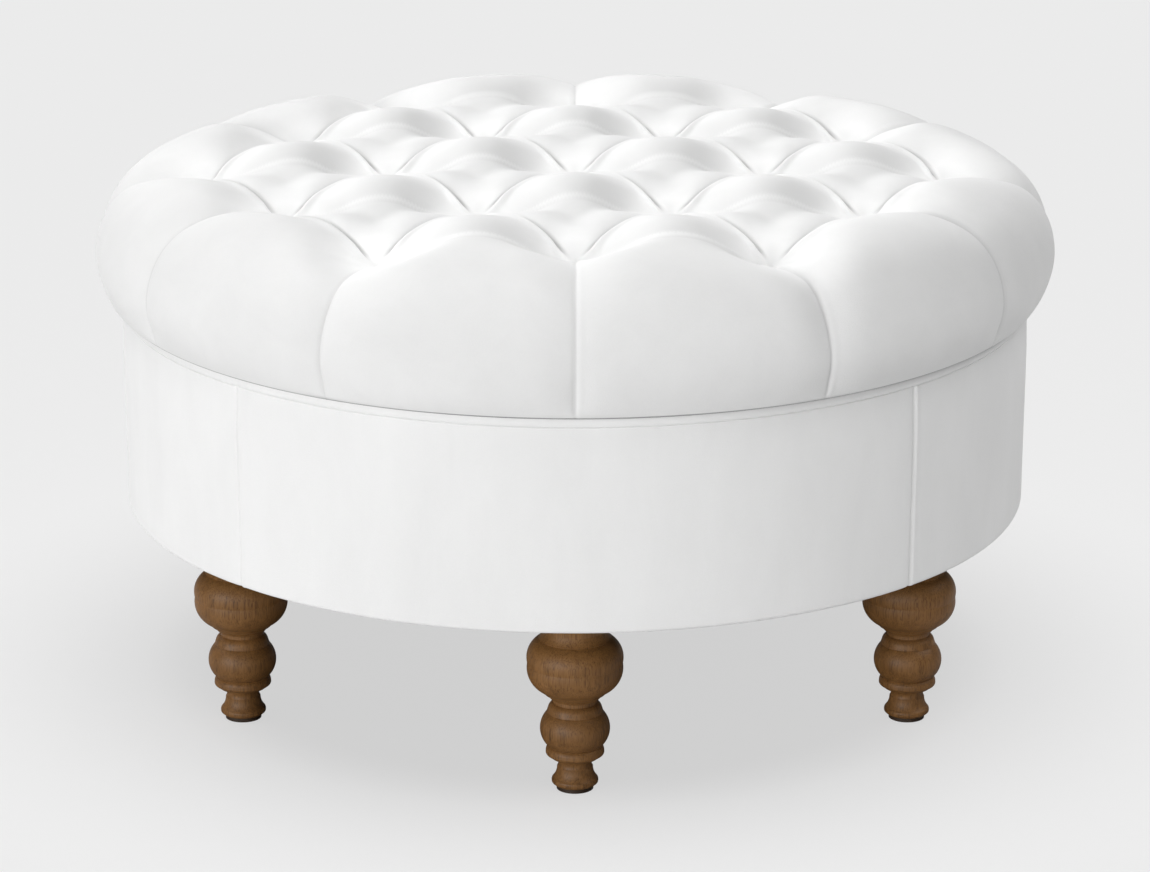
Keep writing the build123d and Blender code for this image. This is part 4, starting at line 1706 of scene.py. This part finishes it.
@dataclass
class DustCover:
    """Black cloth under the carcass, stretched over the hem with a little sag."""

    rim: float = 364.0
    rim_bottom: float = 149.4
    step_outer: float = 353.4
    inner_bottom: float = 150.9
    cloth: float = 0.6
    leg_circle: float = 314.5
    leg_count: int = 6
    leg_radius: float = 30.0
    leg_fade: float = 45.0
    sag: float = 2.5
    sag_radius: float = 345.0
    crumple: float = 0.5
    fold_height: float = 0.25
    fold_count: int = 36
    rings: int = 60
    across: int = 216

    def drop(self, radius: Array, angle: Array) -> Array:
        """Sag, crumples and small edge folds, held up round the legs.

        Args:
            radius: Distance of each point from the stool's axis.
            angle: Its angle round the axis.

        Returns:
            Height over the flat cloth.
        """
        x, y = radius * np.cos(angle), radius * np.sin(angle)
        free = np.ones_like(x)
        for turn in np.radians(np.arange(self.leg_count) * 360 / self.leg_count - 90):
            away = np.hypot(x - self.leg_circle * math.cos(turn), y - self.leg_circle * math.sin(turn))
            free *= smooth_step(away, self.leg_radius, self.leg_radius + self.leg_fade)
        hang = np.clip(1 - (radius / self.sag_radius) ** 2, 0, 1) * free
        near_edge = smooth_step(radius, 230, 330) * (1 - smooth_step(radius, 340, 352)) * free
        folds = np.cos(self.fold_count * angle) * self.fold_height * near_edge
        return -self.sag * hang + self.crumple * ripple(x, y, x * 0, 70, 23) * hang + folds

    def build(self, finishes: Finishes) -> bpy.types.Object:
        """Args:
            finishes: Finishes of the stool.

        Returns:
            The cover.
        """
        radii = np.concatenate([np.linspace(0, self.step_outer - 3, self.rings)[1:],
                                np.linspace(self.step_outer - 2, self.step_outer + 1, 5),
                                [self.rim - 3, self.rim]])
        radius, angle = np.meshgrid(radii, round_angles(self.across), indexing="ij")
        edge = smooth_step(radius, self.step_outer - 2, self.step_outer + 1)
        flat = self.inner_bottom + (self.rim_bottom - self.inner_bottom) * edge
        low = flat + np.minimum(self.drop(radius, angle), 0)
        under = polar(radius, angle, low).reshape(-1, 3)
        rows, middle = len(radii), low[0].mean()
        shift = rows * self.across
        points = np.concatenate([under, under + [0, 0, self.cloth],
                                 [[0, 0, middle], [0, 0, middle + self.cloth]]])
        faces = [*grid_faces(rows, self.across, True), *grid_faces(rows, self.across, True, shift)[:, ::-1]]
        bottom, top, last = len(points) - 2, len(points) - 1, (rows - 1) * self.across
        for place in range(self.across):
            after = (place + 1) % self.across
            faces += [(bottom, after, place), (top, shift + place, shift + after),
                      (last + place, last + after, shift + last + after, shift + last + place)]
        piece = new_piece("dust_cloth", points, [face[::-1] for face in faces], finishes[Slot.CAMBRIC])
        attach(piece, "root")
        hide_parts("dust_cover")
        return piece


@dataclass
class Carcass:
    """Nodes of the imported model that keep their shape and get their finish."""

    plain: dict[str, Slot] = field(default_factory=lambda: {
        "seat_deck": Slot.PLYWOOD, "tuft_washers": Slot.FIBRE_BOARD, "seat_cover_staples": Slot.WIRE,
        "side_wall_front": Slot.PLYWOOD, "side_wall_back": Slot.PLYWOOD, "wall_nails": Slot.WIRE,
        "top_ring": Slot.PLYWOOD, "bottom_ring": Slot.PLYWOOD, "frame_screws": Slot.ZINC,
        "deck_screws": Slot.ZINC, "leg_block_screws": Slot.ZINC, "tee_nuts": Slot.ZINC,
        "hanger_bolts": Slot.ZINC, "dust_cover_staples": Slot.WIRE})
    starts: tuple[tuple[str, Slot], ...] = (
        ("leg_block_", Slot.PLYWOOD), ("upright_", Slot.PLYWOOD), ("foot_glide_", Slot.PLASTIC),
        ("leg_", Slot.WOOD))

    def slot_of(self, name: str) -> Slot | None:
        """Slot of a node, or None where a piece replaces it."""
        by_start = (slot for start, slot in self.starts if name.startswith(start))
        return self.plain.get(name) or next(by_start, None)

    def dress(self, nodes: dict[str, bpy.types.Object], finishes: Finishes) -> int:
        """Give each node its finish.

        Args:
            nodes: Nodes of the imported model.
            finishes: Finishes of the stool.

        Returns:
            Number of nodes dressed.
        """
        dressed = {name: slot for name in nodes if (slot := self.slot_of(name)) is not None}
        for name, slot in dressed.items():
            nodes[name].data.materials.clear()
            nodes[name].data.materials.append(finishes[slot])
        return len(dressed)


@dataclass
class Studio:
    """Camera at the photograph's angle, pale floor and soft light."""

    camera_place: tuple[float, float, float] = (0.0, -3.850, 1.4065)
    target: tuple[float, float, float] = (0.0, 0.0, 0.1919)
    lens: float = 150.2
    sensor: float = 36.0
    clip: tuple[float, float] = (0.1, 60.0)
    background: float = 0.831
    ambient: float = 0.06
    lamps: tuple[tuple[str, tuple[float, float, float], float], ...] = (
        ("key", (-0.7, -0.7, 0.1), 2.77), ("front fill", (0.0, -1.0, 0.1), 0.91),
        ("top left", (-0.5, 0.4, 0.77), 1.42), ("top right", (0.6, 0.0, 0.8), 1.42),
        ("back", (0.0, 0.9, 0.4), 1.10))
    softness: float = 40.0
    floor_light: float = 0.677
    floor_softness: float = 58.0
    floor_radius: float = 14000.0
    floor_points: int = 96
    floor_glow: float = 0.66

    def camera(self) -> None:
        """Make the camera and set it as the scene's."""
        data = bpy.data.cameras.new("photograph")
        data.lens, data.sensor_width = self.lens, self.sensor
        data.clip_start, data.clip_end = self.clip
        camera = add_object("photograph", data)
        camera.location = self.camera_place
        view = Vector(self.target) - Vector(self.camera_place)
        camera.rotation_euler = view.to_track_quat("-Z", "Y").to_euler()
        bpy.context.scene.camera = camera

    def world(self) -> None:
        """Even pale surroundings that light the stool; the camera sees the background's grey."""
        world = bpy.data.worlds.new("studio")
        world.use_nodes = True
        bpy.context.scene.world = world
        graph = Graph(world.node_tree)
        lit = graph.add("ShaderNodeBackground", {"Color": (1, 1, 1, 1), "Strength": self.ambient})
        seen = graph.add("ShaderNodeBackground", {"Color": (*[self.background] * 3, 1)})
        path = graph.add("ShaderNodeLightPath").outputs["Is Camera Ray"]
        mix = graph.add("ShaderNodeMixShader", {0: path, 1: lit.outputs[0], 2: seen.outputs[0]})
        graph.add("ShaderNodeOutputWorld", {0: mix.outputs[0]})

    def floor_finish(self) -> bpy.types.Material:
        """Matte floor that the camera sees as pale as the background, and only from above.

        Returns:
            The material.
        """
        material = bpy.data.materials.new("pale floor")
        material.use_nodes = True
        graph = Graph(material.node_tree)
        lit = self.floor_light + self.ambient
        shown = self.background * (1 - (1 - self.floor_glow) * lit) / self.floor_glow
        matte = graph.add("ShaderNodeBsdfDiffuse", {"Color": (*[self.background] * 3, 1)})
        glow = graph.add("ShaderNodeEmission", {"Color": (shown, shown, shown, 1)})
        path = graph.add("ShaderNodeLightPath").outputs["Is Camera Ray"]
        seen = graph.calc("MULTIPLY", path, self.floor_glow)
        soften = graph.add("ShaderNodeMixShader", {0: seen, 1: matte.outputs[0], 2: glow.outputs[0]})
        below = graph.add("ShaderNodeNewGeometry").outputs["Backfacing"]
        clear = graph.add("ShaderNodeBsdfTransparent")
        mix = graph.add("ShaderNodeMixShader", {0: below, 1: soften.outputs[0], 2: clear.outputs[0]})
        graph.add("ShaderNodeOutputMaterial", {"Surface": mix.outputs[0]})
        return material

    def floor(self) -> bpy.types.Object:
        """Make the pale floor.

        Returns:
            The floor.
        """
        turn = round_angles(self.floor_points)
        mesh = new_mesh("floor", polar(self.floor_radius, turn, turn * 0), faces=[range(self.floor_points)])
        mesh.materials.append(self.floor_finish())
        floor = add_object("floor", mesh)
        floor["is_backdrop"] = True
        return floor

    @staticmethod
    def lamp(name: str, direction: Sequence[float], strength: float, softness: float,
             lit: Iterable[bpy.types.Object]) -> None:
        """Add a distant soft lamp that lights some objects.

        Args:
            name: Name of the lamp.
            direction: Where the light comes from.
            strength: Strength of the lamp.
            softness: Angle of the lamp in degrees.
            lit: Objects that it lights.
        """
        data = bpy.data.lights.new(name, "SUN")
        data.energy, data.angle = strength, math.radians(softness)
        lamp = add_object(name, data)
        lamp.rotation_euler = Vector(direction).to_track_quat("Z", "Y").to_euler()
        group = bpy.data.collections.new(name + " lights")
        for item in lit:
            group.objects.link(item)
        lamp.light_linking.receiver_collection = group

    def light(self, floor: bpy.types.Object) -> None:
        """Add the lamps, once every piece is made.

        Args:
            floor: The floor, which has a lamp of its own.
        """
        self.world()
        for name, direction, strength in self.lamps:
            self.lamp(name, direction, strength, self.softness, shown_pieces())
        self.lamp("overhead", (0, 0, 1), self.floor_light * math.pi, self.floor_softness, [floor])
        bpy.context.scene.view_settings.view_transform = "Standard"


def report(piece: bpy.types.Object) -> None:
    """Log a piece's name and its number of triangles."""
    triangles = sum(len(face.vertices) - 2 for face in piece.data.polygons)
    log.info("%s: %d triangles", piece.name, triangles)


def main() -> None:
    """Build the stool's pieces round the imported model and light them."""
    logging.basicConfig(level=logging.INFO, format="%(name)s %(message)s")
    studio = Studio()
    studio.camera()
    floor = studio.floor()
    finishes = Finishes()
    log.info("packed nodes dressed: %d", Carcass().dress(frame["nodes"], finishes))
    report(Cushion().build(finishes))
    for panel in BorderCover().build(finishes):
        report(panel)
    for part in (Welt(), Wadding(), FoamSlab(), TuftTwines(), DustCover()):
        report(part.build(finishes))
    studio.light(floor)


if __name__ == "__main__":
    main()
